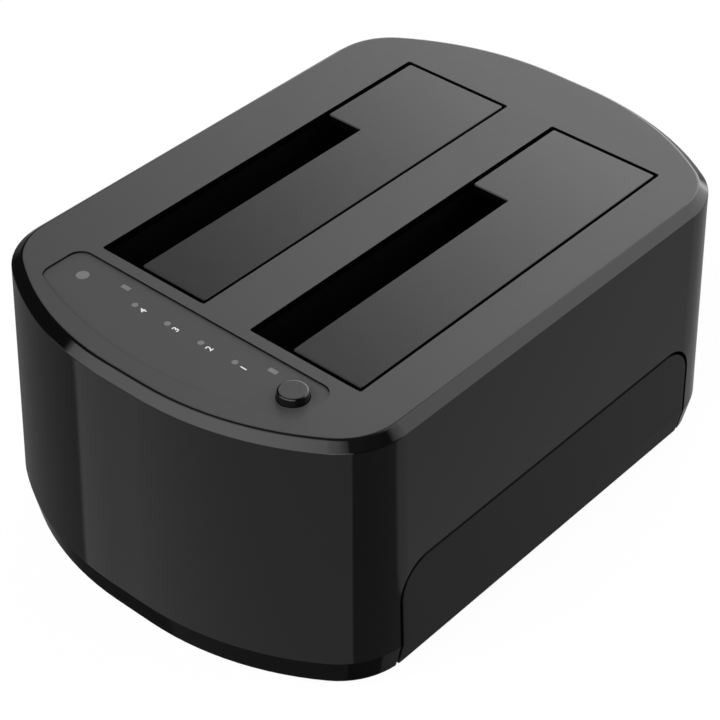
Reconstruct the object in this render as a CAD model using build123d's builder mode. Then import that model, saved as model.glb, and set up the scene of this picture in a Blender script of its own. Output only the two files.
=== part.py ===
from build123d import *
import math
import os

# Docking station for two hard drives, standing on a desk.
# Millimetres. X runs across the body to its right-hand side, Y from the front
# (the end with the indicator row) to the rear (the end with the sockets), Z up.
# The origin is in the middle of the body, on the surface that it stands on.

os.makedirs("parts", exist_ok=True)

# Body, measured where its walls are widest, just above the bottom chamfer
BODY_WIDTH = 111.7
BODY_LENGTH = 159.6
BODY_HEIGHT = 65.9
END_FLAT = 10.6
SHOULDER_RADIUS = 74.0
CORNER_RADIUS = 20.0
WALL_LEAN = 1.95
CHAMFER_HEIGHT = 6.5
CHAMFER_INSET = 1.3
BEVEL_HEIGHT = 2.0
BEVEL_INSET = 2.4
EDGE_ROUND = 1.2
BEVEL_ROUND = 0.3
WALL = 2.4
TOP_THICKNESS = 2.2

# Base cover and the wings that rise from it into the two long sides
BASE_THICKNESS = 2.2
WING_FROM_END = 28.0
WING_HEIGHT = 27.25
WING_CORNER = 8.0
WING_GAP = 0.9
SEAM_GAP = 0.25
VENT_LENGTH = 26.0
VENT_WIDTH = 2.0
VENT_PITCH = 6.0
VENT_COUNT = 7

# Rubber feet
FOOT_DIAMETER = 12.0
FOOT_PROUD = 1.0
FOOT_SUNK = 1.1
FOOT_DISH = 0.4
FOOT_RIM = 2.0
FOOT_FROM_SIDE = 17.85
FOOT_FROM_END = 34.8

# Drive bays: what stays of the top around them
BAY_FROM_LEFT = 20.5
BAY_FROM_RIGHT = 15.9
BAY_FROM_FRONT = 31.65
BAY_BRIDGE = 13.3
BAY_CORNER = 0.6
GUIDE_WALL = 2.0
GUIDE_FLOOR = 2.0
GUIDE_CLEARANCE = 0.75
GUIDE_ABOVE_PARTS = 0.5
GUIDE_RIB = 1.4
GUIDE_RIB_PROUD = 1.2
GUIDE_RIB_COUNT = 5

# Opening that each flap leaves free for a thin drive
SLOT_WIDTH = 11.1
FLAP_FOOT = 31.0
SLOT_CORNER = 1.0

# Spring flaps
FLAP_GAP = 1.0
FLAP_FRONT_GAP = 1.35
FLAP_REAR_GAP = 0.65
FLAP_DROP = 0.2
FLAP_THICKNESS = 1.8
FLAP_EDGE_ROUND = 0.25
STIFFENER_DEPTH = 1.2
STIFFENER_WIDTH = 1.0
STIFFENER_FROM_END = 7.0
STIFFENER_COUNT = 4
BARREL_RADIUS = 1.25
PIN_DIAMETER = 1.2
PIN_CLEARANCE = 0.05
PIN_SEAT_LENGTH = 1.8
TAIL_REACH = 1.9
TAIL_DEPTH = 0.7
TAIL_LENGTH = 6.0
TAIL_FROM_END = 16.2
LEDGE_CLEARANCE = 0.15
LEDGE_HEIGHT = 1.6
RIB_WIDTH = 1.2

# Torsion spring on each hinge pin
WIRE_DIAMETER = 0.4
COIL_RADIUS = 0.95
COIL_PITCH = 0.6
COIL_TURNS = 4
SPRING_POCKET = 5.0
SPRING_LEG = 5.0
WALL_LEG = 3.8

# Indicator panel, sunk into the top in front of the bays
PANEL_FROM_LEFT = 16.8
PANEL_FROM_RIGHT = 19.65
PANEL_FROM_FRONT = 8.9
PANEL_BULGE = 7.6
PANEL_FROM_BAY = 3.0
PANEL_CORNER = 3.5
PANEL_SINK = 0.9
PANEL_THICKNESS = 0.5
PANEL_CLEARANCE = 0.1

# Lights in the panel
LIGHT_ROW_DROP = 6.4
POWER_LIGHT_DIAMETER = 3.0
POWER_LIGHT_FROM_END = 7.4
DOT_COUNT = 4
DOT_DIAMETER = 1.5
DOT_FROM_SOURCE = 5.8
DOT_FROM_TARGET = 7.85
SOURCE_FROM_POWER = 10.25
TARGET_FROM_BUTTON = 8.65
BAR_RISE = 3.05
BAR_LENGTH = 2.4
BAR_WIDTH = 1.2
PIPE_CLEARANCE = 0.05
PIPE_FLANGE = 0.6
PIPE_FLANGE_HEIGHT = 1.0
LED_SIZE = 1.2
LED_HEIGHT = 0.8
LED_GAP = 0.3
LED_BEVEL = 0.2

# Clone button
BUTTON_DIAMETER = 7.0
BUTTON_PROUD = 1.85
BUTTON_TAPER = 5.0
BUTTON_FROM_END = 5.9
BUTTON_FROM_ROW = 0.3
BUTTON_CLEARANCE = 0.15
BUTTON_FLANGE = 1.0
BUTTON_FLANGE_HEIGHT = 1.0
BUTTON_ROUND = 0.5
BUTTON_STEM = 3.0
SWITCH_SIZE = 6.0
SWITCH_HEIGHT = 3.4
SWITCH_CORNER = 0.4
PLUNGER_DIAMETER = 3.4
PLUNGER_PROUD = 1.0
PLUNGER_SUNK = 1.2
BUTTON_TRAVEL = 0.5
SLIDING_CLEARANCE = 0.1

# Circuit boards
BOARD_THICKNESS = 1.6
PANEL_BOARD_FROM_BOSS = 0.5
PANEL_BOARD_FROM_LIGHTS = 6.0
PANEL_BOARD_PAST_LIGHTS = 8.0
PANEL_BOARD_DROP = 9.0
PANEL_BOSS_FROM_BAR = 2.5
PANEL_BOSS_FROM_LIGHTS = 5.0
PANEL_BOSS_DIAMETER = 4.6
BOARD_FROM_SIDE = 11.85
BOARD_FROM_BOSS = 4.0
BOARD_FROM_PORTS = 3.3
BOARD_PAST_CABLE = 5.0
BOARD_TAIL_INSET = 2.0
MAIN_BOARD_LIFT = 4.8
STANDOFF_FROM_EDGE = 6.0
STANDOFF_DIAMETER = 6.0

# Drive connectors, one upright at the foot of each bay
CONNECTOR_LENGTH = 37.4
CONNECTOR_WIDTH = 5.4
CONNECTOR_ABOVE_FLOOR = 6.0
CONNECTOR_FROM_SIDE = 4.05
CONNECTOR_FROM_END = 22.5
CONNECTOR_CLEARANCE = 0.4
CONNECTOR_BEVEL = 0.4
TONGUE_SLOT_WIDTH = 2.4
TONGUE_SLOT_DEPTH = 6.5
DATA_SLOT_LENGTH = 10.4
POWER_SLOT_LENGTH = 20.6
SLOT_KEY = 2.4
SLOT_HOOK = 1.2
CONTACT_PITCH = 1.27
CONTACT_WIDTH = 0.7
CONTACT_THICKNESS = 0.4
DATA_CONTACTS = 7
POWER_CONTACTS = 15

# Sockets and power button in the rear
PORT_SINK = 4.3
PORT_WALL = 2.0
PORT_WIDTH = 54.0
PORT_BELOW_BOARD = 1.0
PORT_ABOVE_SOCKET = 2.4
PORT_FRAME = 2.0
PORT_CLEARANCE = 0.25
PORT_SET_BACK = 0.4
USB_X = 0.0
USB_WIDTH = 12.0
USB_HEIGHT = 12.6
USB_DEPTH = 16.0
USB_SHEET = 0.5
USB_SOCKET_DEPTH = 10.0
USB_TONGUE_WIDTH = 5.6
USB_TONGUE_HEIGHT = 3.2
JACK_X = -18.0
JACK_WIDTH = 9.0
JACK_HEIGHT = 11.0
JACK_DEPTH = 14.0
JACK_BORE = 6.4
JACK_BORE_DEPTH = 9.5
JACK_PIN = 2.0
POWER_BUTTON_X = 18.0
POWER_BUTTON_DIAMETER = 8.0
POWER_BUTTON_PROUD = 2.4
POWER_BUTTON_FLANGE = 0.8
POWER_SWITCH_SIZE = 8.4
POWER_SWITCH_DEPTH = 9.0
POWER_BUTTON_LIFT = 5.2
POWER_STEM = 3.0
POWER_STEM_SUNK = 2.0
POWER_TRAVEL = 2.0
USB_UPPER_WIDTH = 5.8
USB_UPPER_HEIGHT = 2.8
USB_LOWER_WIDTH = 8.5
USB_LOWER_HEIGHT = 7.8
USB_UPPER_TONGUE_WIDTH = 3.6
USB_UPPER_TONGUE_HEIGHT = 1.0
USB_CORNER = 1.4

# Parts on the main board
CHIP_SIZE = 9.0
CHIP_HEIGHT = 1.0
CHIP_BEVEL = 0.25
CHIP_YS = (-20.0, 22.0)
REGULATOR_SIZE = 7.0
REGULATOR_HEIGHT = 2.4
REGULATOR_CORNER = 1.4
REGULATOR_COUNT = 2
REGULATOR_PITCH = 10.0
REGULATOR_FROM_SIDE = 14.0
REGULATOR_FROM_EDGE = 5.0
CAPACITOR_DIAMETER = 6.3
CAPACITOR_HEIGHT = 7.7
CAPACITOR_ROUND = 0.5
CAPACITOR_XS = (-22.0, -13.5, 14.0)
CAPACITOR_FROM_CABLE = 2.0

# Flat cable between the boards
RIBBON_WIDTH = 12.0
RIBBON_THICKNESS = 0.4
RIBBON_X = 0.0
RIBBON_FROM_LIGHTS = 3.0
RIBBON_BEND = 3.0
RIBBON_SAG = 3.0
HEADER_WIDTH = 15.0
HEADER_DEPTH = 4.0
HEADER_HEIGHT = 3.0

# Screws
CASE_SCREW_FROM_SIDE = 15.35
CASE_SCREW_FROM_END = 7.262
CASE_BOSS_DIAMETER = 7.0
CASE_SCREW = 2.9
CASE_HEAD = 5.4
CASE_HEAD_HEIGHT = 1.8
CASE_SCREW_LENGTH = 12.0
CASE_SEAT = 2.0
SMALL_SCREW = 2.0
SMALL_HEAD = 3.8
SMALL_HEAD_HEIGHT = 1.3
SMALL_SCREW_LENGTH = 5.0
SCREW_CLEARANCE = 0.1
GUIDE_SCREW_DROP = 8.0
GUIDE_LUG_THICKNESS = 2.6
GUIDE_LUG_DIAMETER = 6.4
GUIDE_LUG_FROM_END = 12.2

# Levels that follow from those sizes
BASE_BOTTOM = FOOT_PROUD
TOP = BASE_BOTTOM + BODY_HEIGHT
CEILING = TOP - TOP_THICKNESS
LUG_BOTTOM = CEILING - GUIDE_SCREW_DROP - GUIDE_LUG_THICKNESS
WIDEST = BASE_BOTTOM + CHAMFER_HEIGHT
BEVEL_START = TOP - BEVEL_HEIGHT
BASE_TOP = BASE_BOTTOM + BASE_THICKNESS
WING_TOP = BASE_BOTTOM + WING_HEIGHT
MAIN_BOARD_BOTTOM = BASE_TOP + MAIN_BOARD_LIFT
MAIN_BOARD_TOP = MAIN_BOARD_BOTTOM + BOARD_THICKNESS
GUIDE_BOTTOM = MAIN_BOARD_TOP + REGULATOR_HEIGHT + GUIDE_ABOVE_PARTS
BAY_FLOOR = GUIDE_BOTTOM + GUIDE_FLOOR
PANEL_TOP = TOP - PANEL_SINK + PANEL_THICKNESS
PANEL_BOARD_TOP = TOP - PANEL_BOARD_DROP
PANEL_BOARD_BOTTOM = PANEL_BOARD_TOP - BOARD_THICKNESS
FLAP_TOP = TOP - FLAP_DROP
FLAP_BOTTOM = FLAP_TOP - FLAP_THICKNESS
HINGE_Z = CEILING
PIN_RADIUS = PIN_DIAMETER / 2

# The sunken face for the sockets, and how far they reach inwards from it
PORT_FACE_Y = BODY_LENGTH / 2 - PORT_SINK
PORT_INNER_Y = PORT_FACE_Y - PORT_WALL
PORT_BOTTOM = MAIN_BOARD_TOP - PORT_BELOW_BOARD
PORT_HEIGHT = PORT_BELOW_BOARD + USB_HEIGHT + PORT_ABOVE_SOCKET
SOCKET_FRONT_Y = PORT_FACE_Y - PORT_SET_BACK
POWER_BUTTON_Z = MAIN_BOARD_TOP + POWER_BUTTON_LIFT
SWITCH_FRONT_Y = PORT_INNER_Y - POWER_BUTTON_FLANGE - POWER_TRAVEL - PORT_CLEARANCE
SOCKETS_END_Y = min(
    SOCKET_FRONT_Y - USB_DEPTH,
    PORT_INNER_Y - PORT_CLEARANCE - JACK_DEPTH,
    SWITCH_FRONT_Y - POWER_SWITCH_DEPTH,
)

# Case screws, one near each rounded corner: each lies a set way in from the shoulder arc
CASE_SCREW_X = BODY_WIDTH / 2 - CASE_SCREW_FROM_SIDE
CASE_SCREW_Y = BODY_LENGTH / 2 - SHOULDER_RADIUS + math.sqrt(
    (SHOULDER_RADIUS - CASE_SCREW_FROM_END) ** 2 - (CASE_SCREW_X - END_FLAT / 2) ** 2
)
CASE_SCREWS = [(x, y) for x in (-CASE_SCREW_X, CASE_SCREW_X) for y in (-CASE_SCREW_Y, CASE_SCREW_Y)]
CASE_BOSS_INNER_Y = CASE_SCREW_Y - CASE_BOSS_DIAMETER / 2

# The bays take what the margins, the case bosses and the sockets leave of the body
BAY_WIDTH = (BODY_WIDTH - BAY_FROM_LEFT - BAY_FROM_RIGHT - BAY_BRIDGE) / 2
BAY_FRONT_Y = BAY_FROM_FRONT - BODY_LENGTH / 2
BAY_REAR_Y = min(SOCKETS_END_Y, CASE_BOSS_INNER_Y) - GUIDE_CLEARANCE - GUIDE_WALL
BAY_LENGTH = BAY_REAR_Y - BAY_FRONT_Y
BAYS_MIDDLE_X = (BAY_FROM_LEFT - BAY_FROM_RIGHT) / 2
BAYS_MIDDLE_Y = (BAY_FRONT_Y + BAY_REAR_Y) / 2
BAY_PITCH = BAY_WIDTH + BAY_BRIDGE
BAY_DEPTH = TOP - BAY_FLOOR
BAY_XS = {"left": BAYS_MIDDLE_X - BAY_PITCH / 2, "right": BAYS_MIDDLE_X + BAY_PITCH / 2}
OUTWARD = {"left": -1, "right": 1}
SLOT_LENGTH = BAY_LENGTH - FLAP_FOOT
WING_LENGTH = BODY_LENGTH - 2 * WING_FROM_END
FOOT_X = BODY_WIDTH / 2 - FOOT_FROM_SIDE
FOOT_Y = BODY_LENGTH / 2 - FOOT_FROM_END
FEET = [(x, y) for x in (-FOOT_X, FOOT_X) for y in (-FOOT_Y, FOOT_Y)]

# The panel lies between the bays and the front, and its lights are set out from its ends
PANEL_WIDTH = BODY_WIDTH - PANEL_FROM_LEFT - PANEL_FROM_RIGHT
PANEL_X = (PANEL_FROM_LEFT - PANEL_FROM_RIGHT) / 2
PANEL_NOSE = BODY_LENGTH / 2 - PANEL_FROM_FRONT
PANEL_FRONT = PANEL_NOSE - PANEL_BULGE
PANEL_BACK = PANEL_FROM_BAY - BAY_FRONT_Y
LIGHT_ROW_Y = -(PANEL_BACK + LIGHT_ROW_DROP)
BAR_ROW_Y = LIGHT_ROW_Y + BAR_RISE
POWER_LIGHT_X = PANEL_X - PANEL_WIDTH / 2 + POWER_LIGHT_FROM_END
SOURCE_X = POWER_LIGHT_X + SOURCE_FROM_POWER
BUTTON_X = PANEL_X + PANEL_WIDTH / 2 - BUTTON_FROM_END
TARGET_X = BUTTON_X - TARGET_FROM_BUTTON
BUTTON_AT = [(BUTTON_X, LIGHT_ROW_Y - BUTTON_FROM_ROW)]
FIRST_DOT_X = SOURCE_X + DOT_FROM_SOURCE
LAST_DOT_X = TARGET_X - DOT_FROM_TARGET
DOT_PITCH = (LAST_DOT_X - FIRST_DOT_X) / (DOT_COUNT - 1)
DOTS = [(FIRST_DOT_X + DOT_PITCH * i, LIGHT_ROW_Y) for i in range(DOT_COUNT)]

# The small board lies under the lights, the main board between the case bosses
PANEL_BOARD_WIDTH = 2 * CASE_SCREW_X - CASE_BOSS_DIAMETER - 2 * PANEL_BOARD_FROM_BOSS
PANEL_BOARD_BACK = -LIGHT_ROW_Y - PANEL_BOARD_FROM_LIGHTS
PANEL_BOARD_FRONT = PANEL_BOARD_PAST_LIGHTS - LIGHT_ROW_Y
PANEL_BOSS_X = TARGET_X + PANEL_BOSS_FROM_BAR
PANEL_BOSS_Y = LIGHT_ROW_Y - PANEL_BOSS_FROM_LIGHTS
PANEL_BOSSES = [(-PANEL_BOSS_X, PANEL_BOSS_Y), (PANEL_BOSS_X, PANEL_BOSS_Y)]
RIBBON_Y = LIGHT_ROW_Y - RIBBON_FROM_LIGHTS
MAIN_BOARD_WIDTH = BODY_WIDTH - 2 * BOARD_FROM_SIDE
MAIN_BOARD_LENGTH = 2 * (CASE_BOSS_INNER_Y - BOARD_FROM_BOSS)
MAIN_BOARD_NOSE = 2 * CASE_SCREW_X - CASE_BOSS_DIAMETER - 2 * BOARD_FROM_BOSS
MAIN_BOARD_TAIL = PORT_WIDTH - 2 * BOARD_TAIL_INSET
MAIN_BOARD_FRONT = BOARD_PAST_CABLE - RIBBON_Y
MAIN_BOARD_REAR = PORT_INNER_Y - BOARD_FROM_PORTS
STANDOFF_X = MAIN_BOARD_WIDTH / 2 - STANDOFF_FROM_EDGE
STANDOFF_Y = MAIN_BOARD_LENGTH / 2 - STANDOFF_FROM_EDGE
STANDOFFS = [(x, y) for x in (-STANDOFF_X, STANDOFF_X) for y in (-STANDOFF_Y, STANDOFF_Y)]
GUIDE_LUG_YS = (BAY_FRONT_Y + GUIDE_LUG_FROM_END, BAY_REAR_Y - GUIDE_LUG_FROM_END)
REGULATOR_X = REGULATOR_FROM_SIDE - MAIN_BOARD_WIDTH / 2
REGULATOR_Y = MAIN_BOARD_LENGTH / 2 - REGULATOR_FROM_EDGE
REGULATORS = [(REGULATOR_X + REGULATOR_PITCH * i, REGULATOR_Y) for i in range(REGULATOR_COUNT)]
CAPACITOR_Y = RIBBON_Y + CAPACITOR_FROM_CABLE


def hinge_x(side):
    """Where the hinge pin of this bay's flap runs, along the bay's right-hand edge."""
    return BAY_XS[side] + BAY_WIDTH / 2 - FLAP_GAP - BARREL_RADIUS


def guide_lugs(side, reach=GUIDE_LUG_DIAMETER / 2 + SEAM_GAP):
    """The three screw places of this bay's drive guide, reach away from its walls."""
    wall_x = BAY_XS[side] + OUTWARD[side] * (BAY_WIDTH / 2 + GUIDE_WALL + reach)
    rear_y = BAY_REAR_Y + GUIDE_WALL + reach
    return [(wall_x, y) for y in GUIDE_LUG_YS] + [(BAY_XS[side], rear_y)]


def connector_at(side):
    """Plan position of the drive connector at the foot of this bay."""
    return (BAY_XS[side] - BAY_WIDTH / 2 + CONNECTOR_FROM_SIDE, BAY_FRONT_Y + CONNECTOR_FROM_END)


GUIDE_SCREWS = guide_lugs("left") + guide_lugs("right")


def save(part, name):
    """Label a finished piece and write it to its own file."""
    part.label = name
    export_step(part, f"parts/{name}.step")


def outline(height, inset):
    """The body's plan outline on the plane at height, with every wall moved in by inset."""
    half_width = BODY_WIDTH / 2 - inset
    half_length = BODY_LENGTH / 2 - inset
    half_flat = END_FLAT / 2
    shoulder = SHOULDER_RADIUS - inset
    corner = CORNER_RADIUS - inset
    # The corner arc touches the side wall and the shoulder arc
    lean = math.asin((half_width - corner - half_flat) / (shoulder - corner))
    corner_y = half_length - shoulder + (shoulder - corner) * math.cos(lean)
    turn = math.degrees(lean)
    with BuildSketch(Plane.XY.offset(height)) as sketch:
        with BuildLine():
            CenterArc((half_width - corner, corner_y), corner, 0, 90 - turn)
            CenterArc((half_flat, half_length - shoulder), shoulder, 90 - turn, turn)
            mirror(about=Plane.YZ)
            mirror(about=Plane.XZ)
            for sign in (-1, 1):
                Line((sign * half_width, -corner_y), (sign * half_width, corner_y))
                Line((-half_flat, sign * half_length), (half_flat, sign * half_length))
        make_face()
    return sketch.sketch


def band(low, high, inset_low, inset_high, mode=Mode.ADD):
    """One sloping band of the body between two levels, as the base of every shell."""
    slope = math.degrees(math.atan2(inset_high - inset_low, high - low))
    extrude(outline(low, inset_low), amount=high - low, taper=slope, mode=mode)


def lean_at(height):
    """How far the long wall has leaned in at this height."""
    return WALL_LEAN * (height - WIDEST) / (BEVEL_START - WIDEST)


def wing_window(gap):
    """Side view of a wing, grown by gap, reaching below the base."""
    low = BASE_BOTTOM - CHAMFER_HEIGHT
    high = WING_TOP + gap
    with BuildSketch(Plane.YZ) as sketch:
        with Locations((0, (low + high) / 2)):
            shape = Rectangle(WING_LENGTH + 2 * gap, high - low)
        fillet(shape.vertices().group_by(Axis.Y)[-1], WING_CORNER + gap)
    return sketch.sketch


def upright(y):
    """The plane across the body at y, seen from the front."""
    return Plane.XZ.offset(-y)


def disc(height, diameter, places):
    """Equal circles on the plane at height."""
    with BuildSketch(Plane.XY.offset(height)) as sketch:
        with Locations(*places):
            Circle(diameter / 2)
    return sketch.sketch


def panel_outline(height, gap):
    """The indicator panel's outline: straight at the rear, following the body at the front."""
    left = PANEL_X - PANEL_WIDTH / 2 + gap
    right = PANEL_X + PANEL_WIDTH / 2 - gap
    front = PANEL_FRONT - gap
    back = PANEL_BACK + gap
    nose = PANEL_NOSE - gap
    with BuildSketch(Plane.XY.offset(height)) as sketch:
        with BuildLine():
            Polyline((left, -front), (left, -back), (right, -back), (right, -front))
            ThreePointArc((right, -front), (PANEL_X, -nose), (left, -front))
        face = make_face()
        fillet(face.vertices(), PANEL_CORNER - gap)
    return sketch.sketch


def panel_holes(height):
    """The holes for the lights and the clone button."""
    with BuildSketch(Plane.XY.offset(height)) as sketch:
        with Locations((POWER_LIGHT_X, LIGHT_ROW_Y)):
            Circle(POWER_LIGHT_DIAMETER / 2 + PIPE_CLEARANCE)
        with Locations(*DOTS):
            Circle(DOT_DIAMETER / 2 + PIPE_CLEARANCE)
        with Locations((SOURCE_X, BAR_ROW_Y), (TARGET_X, BAR_ROW_Y)):
            Rectangle(BAR_LENGTH + 2 * PIPE_CLEARANCE, BAR_WIDTH + 2 * PIPE_CLEARANCE)
        with Locations(*BUTTON_AT):
            Circle(BUTTON_DIAMETER / 2 + BUTTON_CLEARANCE)
    return sketch.sketch


def screws(seat, length, up, diameter, head_diameter, head_height, places):
    """Pan-head screws: the heads start at seat, and the shanks go up or down from there."""
    extrude(disc(seat, diameter, places), amount=up * length)
    extrude(disc(seat, head_diameter, places), amount=-up * head_height)
    heads = edges().filter_by(GeomType.CIRCLE).group_by(Axis.Z)[0 if up > 0 else -1]
    fillet(heads, head_height / 3)


def block(y, depth, width, height, at, mode=Mode.ADD):
    """A block that reaches depth towards the front from y, width by height about the point at."""
    with BuildSketch(upright(y)) as face:
        with Locations(at):
            Rectangle(width, height)
    extrude(face.sketch, amount=depth, mode=mode)


# Hollow of the upper shell, with the flat wall for the sockets left standing at the rear
with BuildPart() as hollow:
    band(BASE_BOTTOM, WIDEST, WALL + CHAMFER_INSET, WALL)
    band(WIDEST, CEILING, WALL, WALL + lean_at(CEILING))
    with BuildSketch(upright(PORT_INNER_Y)):
        with Locations((0, PORT_BOTTOM + PORT_HEIGHT / 2)):
            Rectangle(PORT_WIDTH + 2 * PORT_FRAME, PORT_HEIGHT + 2 * PORT_FRAME)
    extrude(amount=-BODY_LENGTH / 2, mode=Mode.SUBTRACT)

# Upper shell: one moulding with the walls, the bevelled top and all its bosses
with BuildPart() as top_housing:
    band(BASE_BOTTOM, WIDEST, CHAMFER_INSET, 0)
    band(WIDEST, BEVEL_START, 0, WALL_LEAN)
    band(BEVEL_START, TOP, WALL_LEAN, WALL_LEAN + BEVEL_INSET)
    fillet(top_housing.faces().sort_by(Axis.Z)[-1].edges(), EDGE_ROUND)
    bevel_edges = top_housing.edges().filter_by_position(Axis.Z, BEVEL_START, BEVEL_START)
    fillet(bevel_edges, BEVEL_ROUND)
    add(hollow.part, mode=Mode.SUBTRACT)
    extrude(disc(CEILING, CASE_BOSS_DIAMETER, CASE_SCREWS), amount=BASE_TOP + CASE_SEAT - CEILING)
    extrude(disc(CEILING, GUIDE_LUG_DIAMETER, GUIDE_SCREWS), amount=-GUIDE_SCREW_DROP)
    extrude(disc(CEILING, PANEL_BOSS_DIAMETER, PANEL_BOSSES), amount=PANEL_BOARD_TOP - CEILING)
    # Pilot holes for the screws
    extrude(
        disc(BASE_TOP + CASE_SEAT, CASE_SCREW + SCREW_CLEARANCE, CASE_SCREWS),
        amount=CASE_SCREW_LENGTH,
        mode=Mode.SUBTRACT,
    )
    extrude(
        disc(CEILING - GUIDE_SCREW_DROP, SMALL_SCREW + SCREW_CLEARANCE, GUIDE_SCREWS),
        amount=SMALL_SCREW_LENGTH,
        mode=Mode.SUBTRACT,
    )
    extrude(
        disc(PANEL_BOARD_TOP, SMALL_SCREW + SCREW_CLEARANCE, PANEL_BOSSES),
        amount=SMALL_SCREW_LENGTH,
        mode=Mode.SUBTRACT,
    )
    # The windows in the long sides that the wings fill
    extrude(wing_window(WING_GAP), amount=BODY_WIDTH, both=True, mode=Mode.SUBTRACT)
    # The two bays
    with BuildSketch(Plane.XY.offset(TOP)):
        with Locations(*[(x, BAYS_MIDDLE_Y) for x in BAY_XS.values()]):
            RectangleRounded(BAY_WIDTH, BAY_LENGTH, BAY_CORNER)
    extrude(amount=-TOP_THICKNESS, mode=Mode.SUBTRACT)
    # Upper halves of the seats that trap the hinge pins
    with BuildSketch(upright(BAY_REAR_Y + PIN_SEAT_LENGTH)):
        with Locations(*[(hinge_x(side), HINGE_Z) for side in BAY_XS]):
            Circle(PIN_RADIUS + PIN_CLEARANCE)
    extrude(amount=BAY_LENGTH + 2 * PIN_SEAT_LENGTH, mode=Mode.SUBTRACT)
    # Sunken place of the indicator panel, with the holes under it
    extrude(panel_outline(TOP, 0), amount=-PANEL_SINK, mode=Mode.SUBTRACT)
    extrude(panel_holes(TOP), amount=-TOP_THICKNESS, mode=Mode.SUBTRACT)
    # Sunken flat face for the sockets, and the three holes in it
    with BuildSketch(upright(PORT_FACE_Y)):
        with Locations((0, PORT_BOTTOM + PORT_HEIGHT / 2)):
            Rectangle(PORT_WIDTH, PORT_HEIGHT)
    extrude(amount=-BODY_LENGTH / 2, mode=Mode.SUBTRACT)
    with BuildSketch(upright(PORT_FACE_Y)):
        with Locations((USB_X, MAIN_BOARD_TOP + USB_HEIGHT / 2)):
            Rectangle(USB_WIDTH + 2 * PORT_CLEARANCE, USB_HEIGHT + 2 * PORT_CLEARANCE)
        with Locations((JACK_X, MAIN_BOARD_TOP + JACK_HEIGHT / 2)):
            Circle(JACK_WIDTH / 2 + PORT_CLEARANCE)
        with Locations((POWER_BUTTON_X, POWER_BUTTON_Z)):
            Circle(POWER_BUTTON_DIAMETER / 2 + PORT_CLEARANCE)
    extrude(amount=PORT_WALL, mode=Mode.SUBTRACT)
save(top_housing.part, "top_housing")


# Lower shell: the floor, and a wing in each long side that follows the body's outer form
with BuildPart() as base_cover:
    band(BASE_BOTTOM, WIDEST, CHAMFER_INSET, 0)
    band(WIDEST, WING_TOP, 0, lean_at(WING_TOP))
    band(BASE_TOP, WIDEST, WALL + CHAMFER_INSET * (WIDEST - BASE_TOP) / CHAMFER_HEIGHT, WALL, Mode.SUBTRACT)
    band(WIDEST, WING_TOP, WALL, WALL + lean_at(WING_TOP), Mode.SUBTRACT)
    extrude(wing_window(0), amount=BODY_WIDTH, both=True, mode=Mode.INTERSECT)
    extrude(outline(BASE_BOTTOM, CHAMFER_INSET + WALL + SEAM_GAP), amount=BASE_THICKNESS)
    extrude(disc(BASE_TOP, CASE_BOSS_DIAMETER, CASE_SCREWS), amount=CASE_SEAT)
    extrude(disc(BASE_TOP, STANDOFF_DIAMETER, STANDOFFS), amount=MAIN_BOARD_LIFT)
    extrude(
        disc(BASE_TOP, SMALL_SCREW + SCREW_CLEARANCE, STANDOFFS), amount=MAIN_BOARD_LIFT, mode=Mode.SUBTRACT
    )
    extrude(
        disc(BASE_BOTTOM, CASE_SCREW + SCREW_CLEARANCE, CASE_SCREWS),
        amount=BASE_THICKNESS + CASE_SEAT,
        mode=Mode.SUBTRACT,
    )
    extrude(
        disc(BASE_BOTTOM, CASE_HEAD + 2 * SCREW_CLEARANCE, CASE_SCREWS),
        amount=CASE_HEAD_HEIGHT + SCREW_CLEARANCE,
        mode=Mode.SUBTRACT,
    )
    extrude(disc(BASE_BOTTOM, FOOT_DIAMETER + SEAM_GAP, FEET), amount=FOOT_SUNK, mode=Mode.SUBTRACT)
    # Cooling slots under the boards
    with BuildSketch(Plane.XY.offset(BASE_BOTTOM)):
        with GridLocations(VENT_LENGTH + VENT_PITCH, VENT_PITCH, 2, VENT_COUNT):
            SlotOverall(VENT_LENGTH, VENT_WIDTH)
    extrude(amount=BASE_THICKNESS, mode=Mode.SUBTRACT)
save(base_cover.part, "base_cover")

# Rubber feet, pressed into their round hollows
for end, foot_y in {"front": -FOOT_Y, "rear": FOOT_Y}.items():
    for side, foot_x in {"left": -FOOT_X, "right": FOOT_X}.items():
        with BuildPart() as foot:
            extrude(disc(0, FOOT_DIAMETER, [(foot_x, foot_y)]), amount=FOOT_PROUD + FOOT_SUNK)
            fillet(foot.edges().group_by(Axis.Z)[0], FOOT_PROUD / 2)
            dish = disc(0, FOOT_DIAMETER - 2 * FOOT_RIM, [(foot_x, foot_y)])
            extrude(dish, amount=FOOT_DISH, mode=Mode.SUBTRACT)
        save(foot.part, f"rubber_foot_{end}_{side}")


with BuildPart() as case_screws:
    screws(
        BASE_BOTTOM + CASE_HEAD_HEIGHT + SCREW_CLEARANCE,
        CASE_SCREW_LENGTH,
        1,
        CASE_SCREW,
        CASE_HEAD,
        CASE_HEAD_HEIGHT,
        CASE_SCREWS,
    )
save(case_screws.part, "case_screws")

with BuildPart() as guide_screws:
    screws(
        LUG_BOTTOM,
        GUIDE_LUG_THICKNESS + SMALL_SCREW_LENGTH - SCREW_CLEARANCE,
        1,
        SMALL_SCREW,
        SMALL_HEAD,
        SMALL_HEAD_HEIGHT,
        GUIDE_SCREWS,
    )
save(guide_screws.part, "guide_screws")

with BuildPart() as main_board_screws:
    screws(
        MAIN_BOARD_TOP,
        BOARD_THICKNESS + MAIN_BOARD_LIFT - SCREW_CLEARANCE,
        -1,
        SMALL_SCREW,
        SMALL_HEAD,
        SMALL_HEAD_HEIGHT,
        STANDOFFS,
    )
save(main_board_screws.part, "main_board_screws")

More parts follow.
